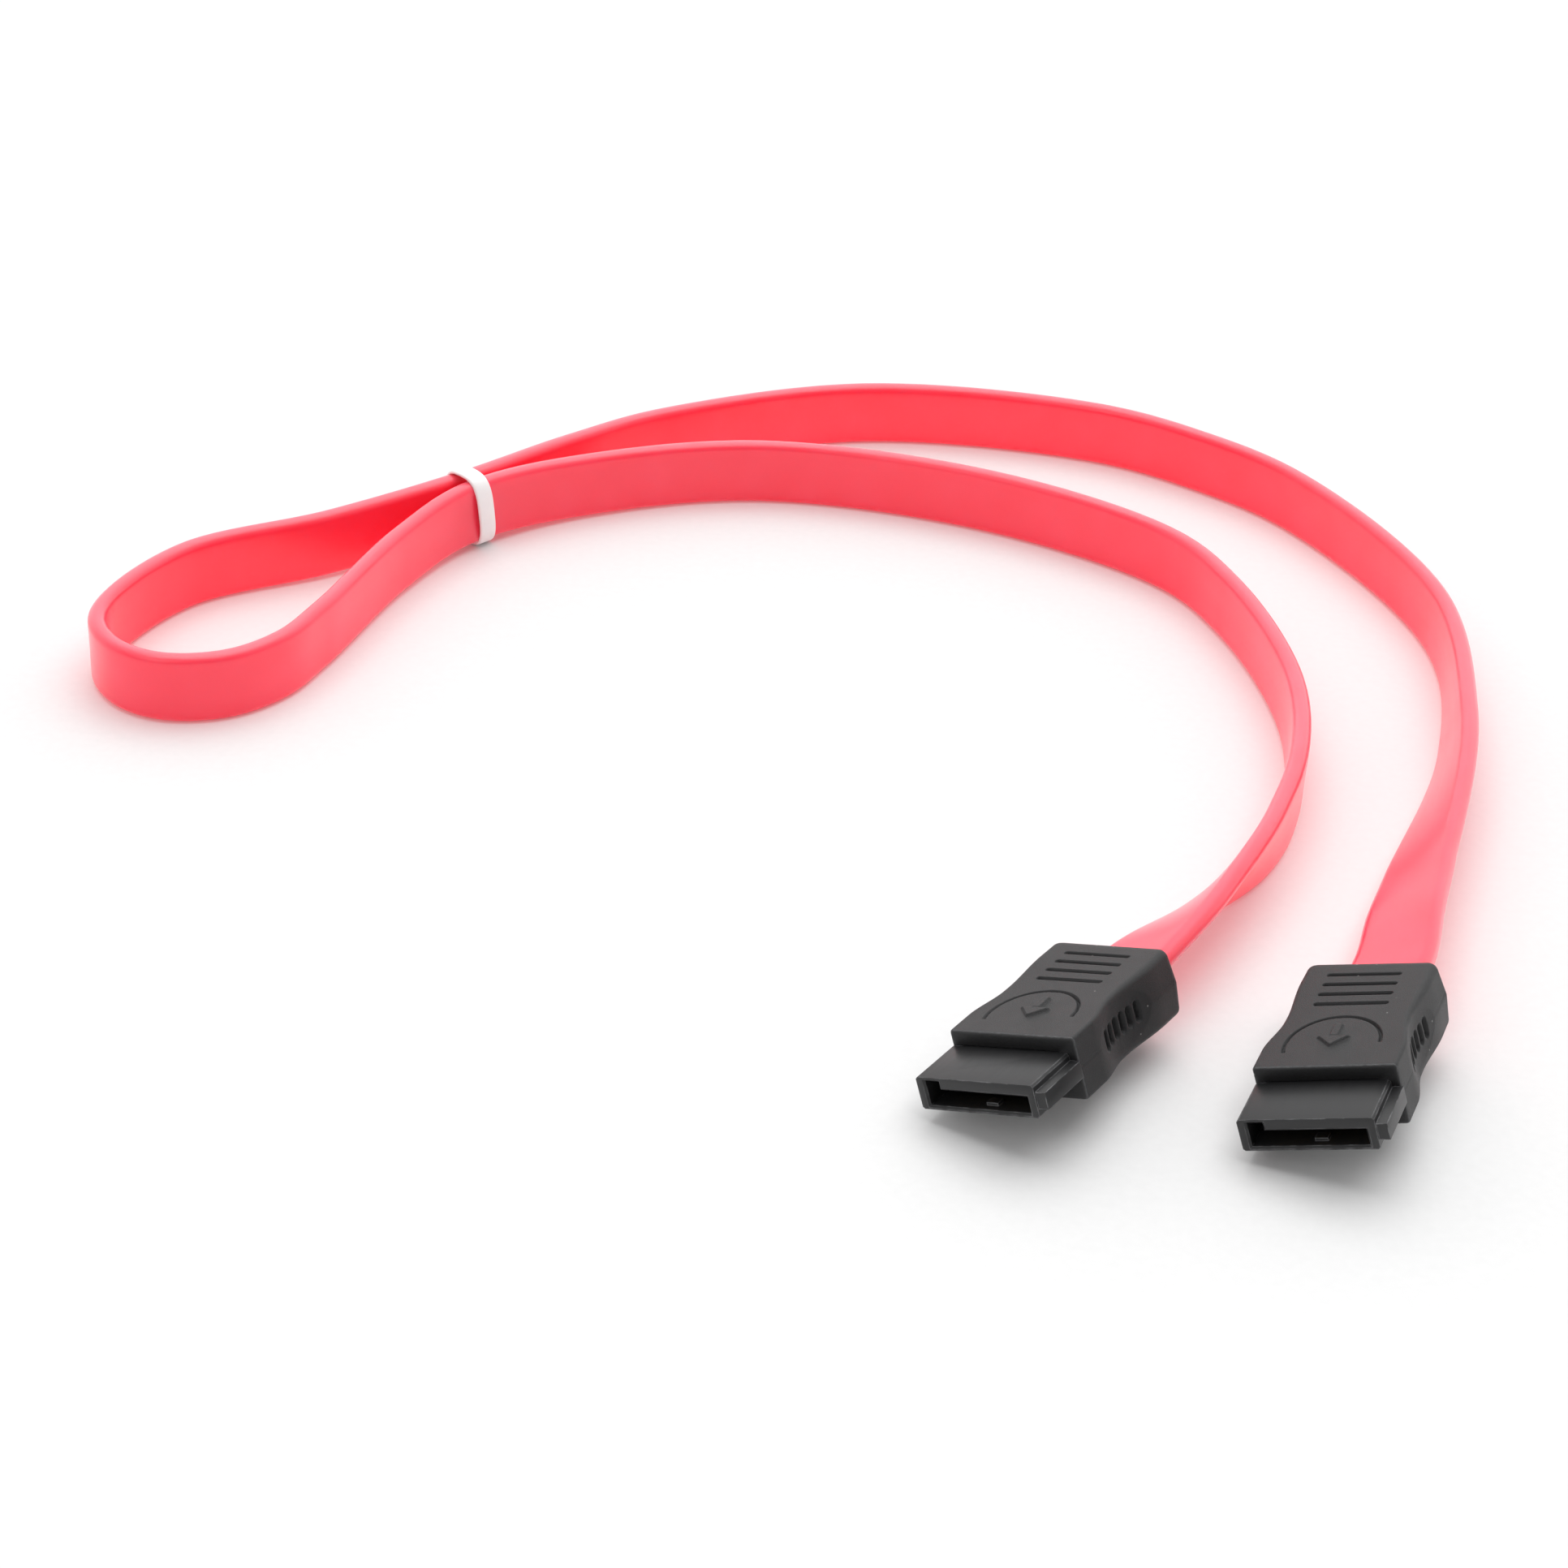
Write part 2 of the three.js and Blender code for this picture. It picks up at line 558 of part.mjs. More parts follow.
// A straight extrusion of the section, with each ring moved to its place along the curve: the
// width stands upright, and twists over to lie in the plane of the plug near each end
function ribbonGeometry() {
  const curve = ribbonCurve();
  const length = curve.getLength();
  const section = roundedRectangle(RIBBON_THICKNESS, RIBBON_WIDTH, RIBBON_EDGE_RADIUS);
  const strip = new THREE.ExtrudeGeometry(section, {
    depth: 1, steps: RIBBON_STEPS, bevelEnabled: false, curveSegments: 1,
  });
  const position = strip.attributes.position;
  const up = new THREE.Vector3(0, 0, 1);
  for (let i = 0; i < position.count; i++) {
    const along = THREE.MathUtils.clamp(position.getZ(i), 0, 1);
    const centre = curve.getPointAt(along);
    const tangent = curve.getTangentAt(along);
    const side = new THREE.Vector3().crossVectors(up, tangent).normalize();
    const rise = new THREE.Vector3().crossVectors(tangent, side);
    const turn = plugTurn(PLUGS[1], (1 - along) * length) - plugTurn(PLUGS[0], along * length);
    const width = rise.multiplyScalar(Math.cos(turn)).addScaledVector(side, Math.sin(turn));
    const face = new THREE.Vector3().crossVectors(width, tangent);
    centre.addScaledVector(face, position.getX(i)).addScaledVector(width, position.getY(i));
    position.setXYZ(i, centre.x, centre.y, centre.z);
  }
  return strip;
}

// Closed band round both strands, standing across them on the floor
function bandGeometry() {
  const innerWidth = STRAND_SPACING + RIBBON_THICKNESS + 2 * BAND_GAP;
  const innerHeight = RIBBON_WIDTH + 2 * BAND_GAP;
  const innerRadius = RIBBON_EDGE_RADIUS;
  const shape = roundedRectangle(
    innerWidth + 2 * BAND_THICKNESS, innerHeight + 2 * BAND_THICKNESS, innerRadius + BAND_THICKNESS);
  shape.holes.push(roundedRectangle(innerWidth, innerHeight, innerRadius));
  const band = new THREE.ExtrudeGeometry(shape, {
    depth: BAND_WIDTH, bevelEnabled: false, curveSegments: 2,
  });
  return alongX(band, -BAND_WIDTH / 2);
}

const cable = new THREE.Group();
for (const plug of PLUGS) cable.add(makePlug(plug));
cable.add(namedMesh('ribbon', ribbonGeometry(), ribbonMaterial));

const band = namedMesh('band', bandGeometry(), bandMaterial);
band.position.set(...BAND_CENTRE, IN_BAND);
band.rotation.z = BAND_HEADING;
cable.add(band);

export default cable;
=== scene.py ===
"""Flat drive data cable: a PVC ribbon folded back on itself, a band, and a moulded plug on each end.

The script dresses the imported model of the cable. The ribbon, the band, the hoods and the plug
housings are surfaces worked out with numpy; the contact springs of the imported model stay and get
their metal. Lengths inside the functions are millimetres, and a mesh is scaled to metres once.
"""

import math

import bmesh
import bpy
import numpy as np
from bpy.props import FloatProperty, FloatVectorProperty, IntProperty, PointerProperty
from mathutils import Matrix, Vector


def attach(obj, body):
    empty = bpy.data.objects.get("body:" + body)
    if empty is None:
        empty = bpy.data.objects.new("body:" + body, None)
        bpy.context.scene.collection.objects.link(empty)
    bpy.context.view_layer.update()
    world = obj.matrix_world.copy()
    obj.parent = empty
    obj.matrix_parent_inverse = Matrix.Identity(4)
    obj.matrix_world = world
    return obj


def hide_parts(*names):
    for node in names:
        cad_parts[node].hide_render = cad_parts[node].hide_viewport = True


bl_info = {
    "name": "Flat drive data cable",
    "version": (1, 0, 0),
    "blender": (4, 5, 0),
    "location": "View3D > Sidebar > Data cable",
    "description": "Builds a flat data cable with two moulded plugs round its packed model",
    "category": "Add Mesh",
}

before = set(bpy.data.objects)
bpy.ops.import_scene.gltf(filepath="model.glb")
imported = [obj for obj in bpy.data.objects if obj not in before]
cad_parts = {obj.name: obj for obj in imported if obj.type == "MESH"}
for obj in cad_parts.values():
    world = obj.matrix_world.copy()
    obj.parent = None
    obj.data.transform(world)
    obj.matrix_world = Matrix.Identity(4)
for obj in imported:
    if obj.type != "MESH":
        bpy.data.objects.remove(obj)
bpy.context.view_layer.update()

MM = 0.001
BODY = "root"

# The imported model's own sizes in millimetres, which the pieces here fit
SEAT_GAP = 0.3
HOOD_OFFSET = 0.4
RIBBON_SEAT = 5.0
RIBBON_STRAIGHT = 6.5
TWIST_HOLD = 3.0
HOUSING_SEAT = 5.2
TONGUE_WIDTH = 10.13
TONGUE_HEIGHT = 3.15

# The hood in millimetres: radius of its long edges at the front and at the rear, radius of its
# front rim and rear rim, and where the collar ends, the waist starts and ends, and the swell is full
EDGE_FRONT = 0.32
EDGE_REAR = 0.75
FRONT_ROUND = 0.32
REAR_ROUND = 0.9
COLLAR_END, WAIST_START, WAIST_END, SWELL_END = 3.2, 7.8, 8.4, 15.0

# Points round the hood on a half flank, on a corner and on half its top
HOOD_POINTS = {"flank": 20, "corner": 7, "top": 78}

# How far the ribbon's faces sink between its two pairs of wires
RIBBON_DIP = 0.03

# The band's middle, its turn from the x axis, and how far it leans along the strands per height
BAND_PLACE = (-75.6, 102.5, 4.65)
BAND_HEADING = math.radians(47.5)
BAND_LEAN = -0.12

# Where the two plugs lie: place on the floor, heading and lean in degrees, and the length over
# which the ribbon twists upright behind the plug
PLUGS = {
    "left": {"x": -14.7, "y": -4.4, "heading": -123.5, "lean": 20.7, "twist": 40.0},
    "right": {"x": 12.6, "y": -6.3, "heading": -111.6, "lean": 20.0, "twist": 77.0},
}

# Middle of the ribbon from behind the left plug to behind the right one, in metres
ROUTE = [
    (0.0036, 0.0244, 0.0046), (0.0115, 0.0379, 0.00396), (0.0158, 0.0517, 0.00396),
    (0.0168, 0.0678, 0.00396), (0.0123, 0.0884, 0.00396), (0.0058, 0.1002, 0.00396),
    (-0.0151, 0.1131, 0.00396), (-0.0420, 0.1178, 0.00396), (-0.0632, 0.1106, 0.00416),
    (-0.0754, 0.1007, 0.00465), (-0.0820, 0.0890, 0.00416), (-0.0882, 0.0703, 0.00396),
    (-0.0914, 0.0629, 0.00396), (-0.0964, 0.0582, 0.00396), (-0.1030, 0.0570, 0.00396),
    (-0.1084, 0.0598, 0.00396), (-0.1114, 0.0666, 0.00396), (-0.1053, 0.0823, 0.00396),
    (-0.0906, 0.0921, 0.00416), (-0.0768, 0.1031, 0.00465), (-0.0649, 0.1165, 0.00416),
    (-0.0540, 0.1261, 0.00396), (-0.0289, 0.1369, 0.00396), (-0.0003, 0.1345, 0.00396),
    (0.0125, 0.1275, 0.00396), (0.0231, 0.1172, 0.00396), (0.0356, 0.0888, 0.00396),
    (0.0341, 0.0615, 0.00396), (0.0257, 0.0332, 0.0042), (0.0230, 0.0243, 0.0048),
]


def smoothstep(value, low, high):
    """Rises from 0 at low to 1 at high along t * t * (3 - 2 t), flat outside."""
    t = np.clip((value - low) / (high - low), 0.0, 1.0)
    return t * t * (3.0 - 2.0 * t)


def plug_matrix(plug, half_width):
    """Plug frame to row frame, in millimetres: lean about the forward axis, then the heading.

    The hood lies on the round of its lower right edge. The edge's middle is `reach` from the
    plug's own middle plane, so the origin stands reach * sin(lean) higher than that middle does.
    """
    lean = math.radians(plug["lean"])
    reach = half_width - HOOD_OFFSET - EDGE_FRONT
    height = reach * math.sin(lean) - EDGE_FRONT * math.cos(lean) + EDGE_FRONT
    turn = Matrix.Rotation(math.radians(plug["heading"]), 4, "Z")
    return Matrix.Translation((plug["x"], plug["y"], height)) @ turn @ Matrix.Rotation(lean, 4, "X")


def carry(points, matrix):
    """Moves an array of points in millimetres with a matrix, and gives metres."""
    turn = np.array(matrix.to_3x3())
    return (points @ turn.T + np.array(matrix.translation)) * MM


def closed_mesh(name, points, own_uv=None, own_place=None):
    """A mesh from a grid of points whose columns close round and whose end rows are capped.

    Point (row, column) joins to its neighbours in four-sided faces that face outwards when the
    columns run anticlockwise seen from ahead of the last row. The seam is one row of points, so
    the surface has no doubles.
    """
    rows, columns = points.shape[:2]
    index = np.arange(rows * columns).reshape(rows, columns)
    after = np.roll(index, -1, axis=1)
    quads = np.stack([index[:-1], after[:-1], after[1:], index[1:]], axis=-1).reshape(-1, 4)
    caps = [index[0][::-1].tolist(), index[-1].tolist()]
    mesh = bpy.data.meshes.new(name)
    mesh.from_pydata(points.reshape(-1, 3).tolist(), [], quads.tolist() + caps)
    mesh.polygons.foreach_set("use_smooth", np.ones(len(mesh.polygons), dtype=bool))
    if own_uv is not None:
        along, around = own_uv
        u = np.repeat(along, columns).reshape(rows, columns)
        v = np.tile(around[:-1], (rows, 1))
        v_after = np.tile(around[1:], (rows, 1))
        corner_u = np.stack([u[:-1], u[:-1], u[1:], u[1:]], axis=-1)
        corner_v = np.stack([v[:-1], v_after[:-1], v_after[1:], v[1:]], axis=-1)
        quad_uv = np.stack([corner_u, corner_v], axis=-1).reshape(-1, 2)
        loops = np.zeros((len(mesh.loops), 2))
        loops[: len(quad_uv)] = quad_uv
        mesh.uv_layers.new(name="run").data.foreach_set("uv", loops.ravel())
    if own_place is not None:
        layer = mesh.attributes.new("plug_place", "FLOAT_VECTOR", "POINT")
        layer.data.foreach_set("vector", own_place.reshape(-1, 3).ravel())
    mesh.validate()
    mesh.update()
    return mesh


def placed(name, mesh, material, replaced):
    """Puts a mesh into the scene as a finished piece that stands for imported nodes."""
    mesh.materials.append(material)
    piece = bpy.data.objects.new(name, mesh)
    bpy.context.collection.objects.link(piece)
    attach(piece, BODY)
    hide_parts(*replaced)
    return piece


# Materials


def linear(code):
    """Linear colour of an sRGB hex value, each channel by the standard curve."""
    channels = [int(code[i : i + 2], 16) / 255.0 for i in (1, 3, 5)]
    return tuple(c / 12.92 if c <= 0.04045 else ((c + 0.055) / 1.055) ** 2.4 for c in channels)


def add_node(tree, kind, settings=None, inputs=None):
    """Adds a node; an input is a number or colour, or another node's output socket to link."""
    node = tree.nodes.new(kind)
    for name, value in (settings or {}).items():
        setattr(node, name, value)
    for name, value in (inputs or {}).items():
        socket = node.inputs[name]
        if isinstance(value, bpy.types.NodeSocket):
            tree.links.new(value, socket)
        else:
            socket.default_value = value
    return node


def bare_material(name):
    """A new material with an empty node tree and its output node."""
    material = bpy.data.materials.new(name)
    material.use_nodes = True
    material.node_tree.nodes.clear()
    tree = material.node_tree
    return material, tree, add_node(tree, "ShaderNodeOutputMaterial")


def spread(tree, factor, low, high, start=0.0, stop=1.0):
    """A value that runs from low to high as the factor runs from start to stop."""
    return add_node(tree, "ShaderNodeMapRange", inputs={
        "Value": factor, "From Min": start, "From Max": stop, "To Min": low,
        "To Max": high}).outputs["Result"]


def maths(tree, operation, first, second=0.0):
    """The result of one operation on two numbers or other nodes' outputs."""
    return add_node(tree, "ShaderNodeMath", {"operation": operation}, {
        0: first, 1: second}).outputs[0]


def tint(tree, factor, dark, light):
    """A colour that runs from dark to light as the factor runs from 0 to 1.

    Either of them is an sRGB hex value, a linear colour or another node's output.
    """
    dark, light = ((*linear(end), 1.0) if isinstance(end, str) else end for end in (dark, light))
    return add_node(tree, "ShaderNodeMix", {"data_type": "RGBA"}, {
        "Factor": factor, 6: dark, 7: light}).outputs[2]


def ribbon_pvc(face, half_round):
    # Plasticised PVC, extruded round the wires: glossy and slightly see-through, with its round
    # edges painted paler than its faces as a painted highlight, faint draw lines from the die in
    # its gloss and a slow waviness where the wires press from inside.
    material, tree, output = bare_material("plasticised_pvc_extruded")
    run = add_node(tree, "ShaderNodeUVMap", {"uv_map": "run"}).outputs["UV"]
    # Once half-way round, the map crosses a face and then an edge; this is 1 along the edge,
    # which is painted paler as a highlight
    around = add_node(tree, "ShaderNodeSeparateXYZ", inputs={"Vector": run}).outputs["Y"]
    part = maths(tree, "MODULO", around, half_round)
    off_edge = maths(tree, "ABSOLUTE", maths(tree, "SUBTRACT", part, (face + half_round) / 2))
    edge = add_node(tree, "ShaderNodeMapRange", {"interpolation_type": "SMOOTHSTEP"}, {
        "Value": off_edge, "From Min": 0.5, "From Max": (half_round - face) / 2,
        "To Min": 0.35, "To Max": 0.0}).outputs["Result"]
    # The map is in millimetres: lines 0.4 mm apart across the ribbon and 25 mm long
    stretched = add_node(tree, "ShaderNodeMapping", inputs={
        "Vector": run, "Scale": (0.04, 2.5, 1.0)}).outputs["Vector"]
    lines = add_node(tree, "ShaderNodeTexNoise", inputs={
        "Vector": stretched, "Scale": 1.0, "Detail": 2.0}).outputs["Fac"]
    # Waves about 6 mm long
    waves = add_node(tree, "ShaderNodeTexNoise", inputs={
        "Vector": run, "Scale": 0.16, "Detail": 1.0}).outputs["Fac"]
    bump = add_node(tree, "ShaderNodeBump", inputs={
        "Height": waves, "Strength": 0.4, "Distance": 0.05 * MM})
    face_colour = tint(tree, waves, "#fb304a", "#ff425c")
    # Painted highlight: the round edges are tinted paler pink than the faces
    shader = add_node(tree, "ShaderNodeBsdfPrincipled", inputs={
        "Base Color": tint(tree, edge, face_colour, "#ff7583"),
        "Roughness": spread(tree, lines, 0.27, 0.31),
        "IOR": 1.53,
        "Subsurface Weight": 0.7,
        "Subsurface Radius": (1.0, 0.22, 0.24),
        "Subsurface Scale": 2.0 * MM,
        "Normal": bump.outputs["Normal"]})
    # A share of the light from the lamps goes through, tinted red by each wall that it passes
    shadow_ray = add_node(tree, "ShaderNodeLightPath").outputs["Is Shadow Ray"]
    glow = add_node(tree, "ShaderNodeBsdfTransparent", inputs={
        "Color": (1.0, 0.5, 0.54, 1.0)})
    both = add_node(tree, "ShaderNodeMixShader", inputs={
        0: maths(tree, "MULTIPLY", shadow_ray, 0.75), 1: shader.outputs["BSDF"],
        2: glow.outputs["BSDF"]})
    tree.links.new(both.outputs["Shader"], output.inputs["Surface"])
    return material


def band_plastic():
    # Low-density polyethylene, moulded: soft white with a waxy sheen that light sinks into.
    material, tree, output = bare_material("polyethylene_moulded")
    place = add_node(tree, "ShaderNodeTexCoord").outputs["Object"]
    # Slow unevenness 1.5 mm across
    cloud = add_node(tree, "ShaderNodeTexNoise", inputs={
        "Vector": place, "Scale": 1.0 / (1.5 * MM), "Detail": 2.0}).outputs["Fac"]
    bump = add_node(tree, "ShaderNodeBump", inputs={
        "Height": cloud, "Strength": 0.2, "Distance": 0.05 * MM})
    shader = add_node(tree, "ShaderNodeBsdfPrincipled", inputs={
        "Base Color": tint(tree, cloud, "#ecebea", "#f4f3f2"),
        "Roughness": spread(tree, cloud, 0.42, 0.52),
        "IOR": 1.51,
        "Subsurface Weight": 0.2,
        "Subsurface Radius": (1.0, 0.9, 0.8),
        "Subsurface Scale": 0.8 * MM,
        "Normal": bump.outputs["Normal"]})
    tree.links.new(shader.outputs["BSDF"], output.inputs["Surface"])
    return material


def hood_pvc(colour):
    # Filled black PVC, moulded over the wires in a spark-eroded mould: matte, with a fine even
    # grain, a few paler scuffs, a painted sheen and a painted highlight on the front edge.
    material, tree, output = bare_material("filled_pvc_moulded")
    place = add_node(tree, "ShaderNodeAttribute", {"attribute_name": "plug_place"}).outputs["Vector"]
    # Grain 0.1 mm across, drawn about twice as coarse as the real one so that it shows
    grain = add_node(tree, "ShaderNodeTexNoise", inputs={
        "Vector": place, "Scale": 10.0, "Detail": 3.0, "Roughness": 0.6}).outputs["Fac"]
    # Cloudy patches 3 mm across from handling, which vary the gloss and lighten the colour as a
    # painted sheen
    cloud = add_node(tree, "ShaderNodeTexNoise", inputs={
        "Vector": place, "Scale": 0.35, "Detail": 3.0}).outputs["Fac"]
    # Specks of dust and nicks, a few to each square centimetre
    specks = add_node(tree, "ShaderNodeTexVoronoi", {"feature": "F1"}, {
        "Vector": place, "Scale": 0.42}).outputs["Distance"]
    dust = spread(tree, specks, 0.5, 0.0, start=0.02, stop=0.045)
    # A painted highlight on the round of the front edge: a paler line, broken up every 0.3 mm like
    # rubbing
    ahead = add_node(tree, "ShaderNodeSeparateXYZ", inputs={"Vector": place}).outputs["X"]
    off_line = maths(tree, "ABSOLUTE", maths(tree, "ADD", ahead, 0.17))
    front_edge_highlight = spread(tree, off_line, 0.8, 0.0, stop=0.13)
    broken = add_node(tree, "ShaderNodeTexNoise", inputs={
        "Vector": place, "Scale": 3.3, "Detail": 3.0}).outputs["Fac"]
    # Painted sheen: the cloudy patches lighten the colour up to 1.45 times
    body = tint(tree, cloud, (*colour, 1.0), (*[c * 1.45 for c in colour], 1.0))
    # Painted highlight: a paler grey line along the front edge
    body = tint(tree, maths(tree, "MULTIPLY", front_edge_highlight, broken), body, "#6e6e70")
    bump = add_node(tree, "ShaderNodeBump", inputs={
        "Height": grain, "Strength": 0.9, "Distance": 0.06 * MM})
    shader = add_node(tree, "ShaderNodeBsdfPrincipled", inputs={
        "Base Color": tint(tree, dust, body, "#a8a6a2"),
        "Roughness": spread(tree, cloud, 0.5, 0.62),
        "IOR": 1.54,
        "Specular IOR Level": 0.32,
        "Normal": bump.outputs["Normal"]})
    tree.links.new(shader.outputs["BSDF"], output.inputs["Surface"])
    return material


def housing_nylon(colour):
    # Glass-filled nylon, moulded in a smooth mould: satin, with faint flow lines that run out
    # from the gate at the rear, and paler edges, partly rubbed where the plug goes into its socket
    # and partly a painted highlight where the slot's lips catch the light.
    material, tree, output = bare_material("glass_filled_nylon_moulded")
    place = add_node(tree, "ShaderNodeAttribute", {"attribute_name": "plug_place"}).outputs["Vector"]
    # Flow lines 0.5 mm apart and 5 mm long
    stretched = add_node(tree, "ShaderNodeMapping", inputs={
        "Vector": place, "Scale": (0.2, 2.0, 2.0)}).outputs["Vector"]
    flow = add_node(tree, "ShaderNodeTexNoise", inputs={
        "Vector": stretched, "Scale": 1.0, "Detail": 3.0}).outputs["Fac"]
    # Glass fibres just under the skin, 0.15 mm across
    fibres = add_node(tree, "ShaderNodeTexNoise", inputs={
        "Vector": place, "Scale": 6.5, "Detail": 2.0}).outputs["Fac"]
    bump = add_node(tree, "ShaderNodeBump", inputs={
        "Height": fibres, "Strength": 0.25, "Distance": 0.02 * MM})
    # Paler edges, where a wide bevel would turn the surface, broken up by patches 1.5 mm across:
    # partly rubbed wear, partly a painted highlight on the lips
    rounded = add_node(tree, "ShaderNodeBevel", {"samples": 4}, {"Radius": 0.16 * MM})
    flat = add_node(tree, "ShaderNodeNewGeometry").outputs["Normal"]
    same = add_node(tree, "ShaderNodeVectorMath", {"operation": "DOT_PRODUCT"}, {
        0: rounded.outputs["Normal"], 1: flat})
    patches = add_node(tree, "ShaderNodeTexNoise", inputs={
        "Vector": place, "Scale": 0.7, "Detail": 4.0}).outputs["Fac"]
    rubbed_and_lit_edge = spread(tree, same.outputs["Value"], 1.0, 0.0, start=0.93, stop=0.99)
    wear_and_highlight = maths(tree, "MULTIPLY", rubbed_and_lit_edge, spread(tree, patches, 0.0, 0.7, start=0.4, stop=0.62))
    body = tint(tree, flow, (*colour, 1.0), (*[c * 1.5 for c in colour], 1.0))
    # Wear and painted highlight: the edges are tinted paler grey
    shader = add_node(tree, "ShaderNodeBsdfPrincipled", inputs={
        "Base Color": tint(tree, wear_and_highlight, body, "#8a8a8c"),
        "Roughness": spread(tree, flow, 0.36, 0.5),
        "IOR": 1.53,
        "Specular IOR Level": 0.32,
        "Normal": bump.outputs["Normal"]})
    tree.links.new(shader.outputs["BSDF"], output.inputs["Surface"])
    return material


def contact_gold():
    # Gold flash over nickel on phosphor bronze strip, rolled and stamped: bright and warm, with
    # fine rolling lines along the strip.
    material, tree, output = bare_material("gold_plated_phosphor_bronze")
    place = add_node(tree, "ShaderNodeTexCoord").outputs["Object"]
    # Rolling marks 0.1 mm across
    marks = add_node(tree, "ShaderNodeTexNoise", inputs={
        "Vector": place, "Scale": 1.0 / (0.1 * MM), "Detail": 2.0}).outputs["Fac"]
    bump = add_node(tree, "ShaderNodeBump", inputs={
        "Height": marks, "Strength": 0.15, "Distance": 0.01 * MM})
    shader = add_node(tree, "ShaderNodeBsdfPrincipled", inputs={
        "Base Color": tint(tree, marks, "#d8a945", "#e8c26a"),
        "Metallic": 1.0,
        "Roughness": spread(tree, marks, 0.22, 0.34),
        "Normal": bump.outputs["Normal"]})
    tree.links.new(shader.outputs["BSDF"], output.inputs["Surface"])
    return material


def sweep_paper():
    # White seamless background paper: the camera and the gloss of the pieces see it lit to white,
    # while the shadow and the red glow that the cable throws stay on it.
    material, tree, output = bare_material("seamless_paper")
    path = add_node(tree, "ShaderNodeLightPath").outputs
    seen = maths(tree, "MAXIMUM", path["Is Camera Ray"], path["Is Glossy Ray"])
    seen = maths(tree, "MAXIMUM", seen, path["Is Transmission Ray"])
    place = add_node(tree, "ShaderNodeTexCoord").outputs["Object"]
    # Paper tooth about 1 mm across
    tooth = add_node(tree, "ShaderNodeTexNoise", inputs={
        "Vector": place, "Scale": 1.0 / MM, "Detail": 3.0}).outputs["Fac"]
    # The camera sees the paper a little darker than it is, so that the glow isn't washed out
    shade = tint(tree, path["Is Camera Ray"], tint(tree, tooth, "#f0f0f0", "#f6f6f6"),
                 tint(tree, tooth, "#d2d2d2", "#d8d8d8"))
    paper = add_node(tree, "ShaderNodeBsdfDiffuse", inputs={"Color": shade})
    glow = add_node(tree, "ShaderNodeEmission", inputs={
        "Strength": maths(tree, "MULTIPLY", seen, 0.05)})
    both = add_node(tree, "ShaderNodeAddShader", inputs={
        0: paper.outputs["BSDF"], 1: glow.outputs["Emission"]})
    tree.links.new(both.outputs["Shader"], output.inputs["Surface"])
    return material


# Ribbon


def smooth_route(points, rings):
    """Points evenly spaced along a centripetal Catmull-Rom curve.

    Each stretch between two points is a cubic whose slopes at its ends come from the points on
    either side, with time steps equal to the square root of the distances. The fine points of all
    the stretches are then read off again at equal distances along the line.
    """
    ends = np.vstack([2 * points[0] - points[1], points, 2 * points[-1] - points[-2]])
    p0, p1, p2, p3 = (ends[i : len(ends) - 3 + i][:, None] for i in range(4))
    step = [np.sqrt(np.linalg.norm(b - a, axis=-1, keepdims=True))
            for a, b in ((p0, p1), (p1, p2), (p2, p3))]
    slope_in = ((p1 - p0) / step[0] - (p2 - p0) / (step[0] + step[1]) + (p2 - p1) / step[1])
    slope_out = ((p2 - p1) / step[1] - (p3 - p1) / (step[1] + step[2]) + (p3 - p2) / step[2])
    slope_in, slope_out = slope_in * step[1], slope_out * step[1]
    fine_steps = 60
    t = np.linspace(0.0, 1.0, fine_steps, endpoint=False)[None, :, None]
    cubic = (-3 * p1 + 3 * p2 - 2 * slope_in - slope_out, 2 * p1 - 2 * p2 + slope_in + slope_out)
    fine = (p1 + slope_in * t + cubic[0] * t**2 + cubic[1] * t**3).reshape(-1, 3)
    fine = np.vstack([fine, points[-1]])
    run = np.concatenate([[0.0], np.cumsum(np.linalg.norm(np.diff(fine, axis=0), axis=1))])
    even = np.linspace(0.0, run[-1], rings)
    return np.stack([np.interp(even, run, fine[:, k]) for k in range(3)], axis=1), even


def ribbon_section(width, thickness, radius, dip):
    """Outline of the ribbon, as (across the thickness, along the width): a rectangle with round
    edges whose faces sink by `dip` along the middle, between its two pairs of wires."""
    face_points, corner_points, dip_reach = 19, 8, 0.2 * width
    face = np.linspace(-1.0, 1.0, face_points) * (width / 2 - radius)
    sink = dip * np.exp(-((face / dip_reach) ** 2))
    turn = np.linspace(0.0, np.pi / 2, corner_points)[1:-1]
    right = np.stack([np.full_like(face, thickness / 2) - sink, face], axis=1)
    corner = np.stack([
        thickness / 2 - radius + radius * np.cos(turn), width / 2 - radius + radius * np.sin(turn)],
        axis=1)
    top = np.vstack([corner, corner[::-1] * (-1, 1)])
    half = np.vstack([right, top])
    return np.vstack([half, -half])


def behind_plug(matrix, height, length, distances):
    """Points on the ribbon's axis at distances behind a plug's rear face, in millimetres."""
    local = np.array([[-length - d, HOOD_OFFSET, height / 2] for d in distances])
    return carry(local, matrix) / MM


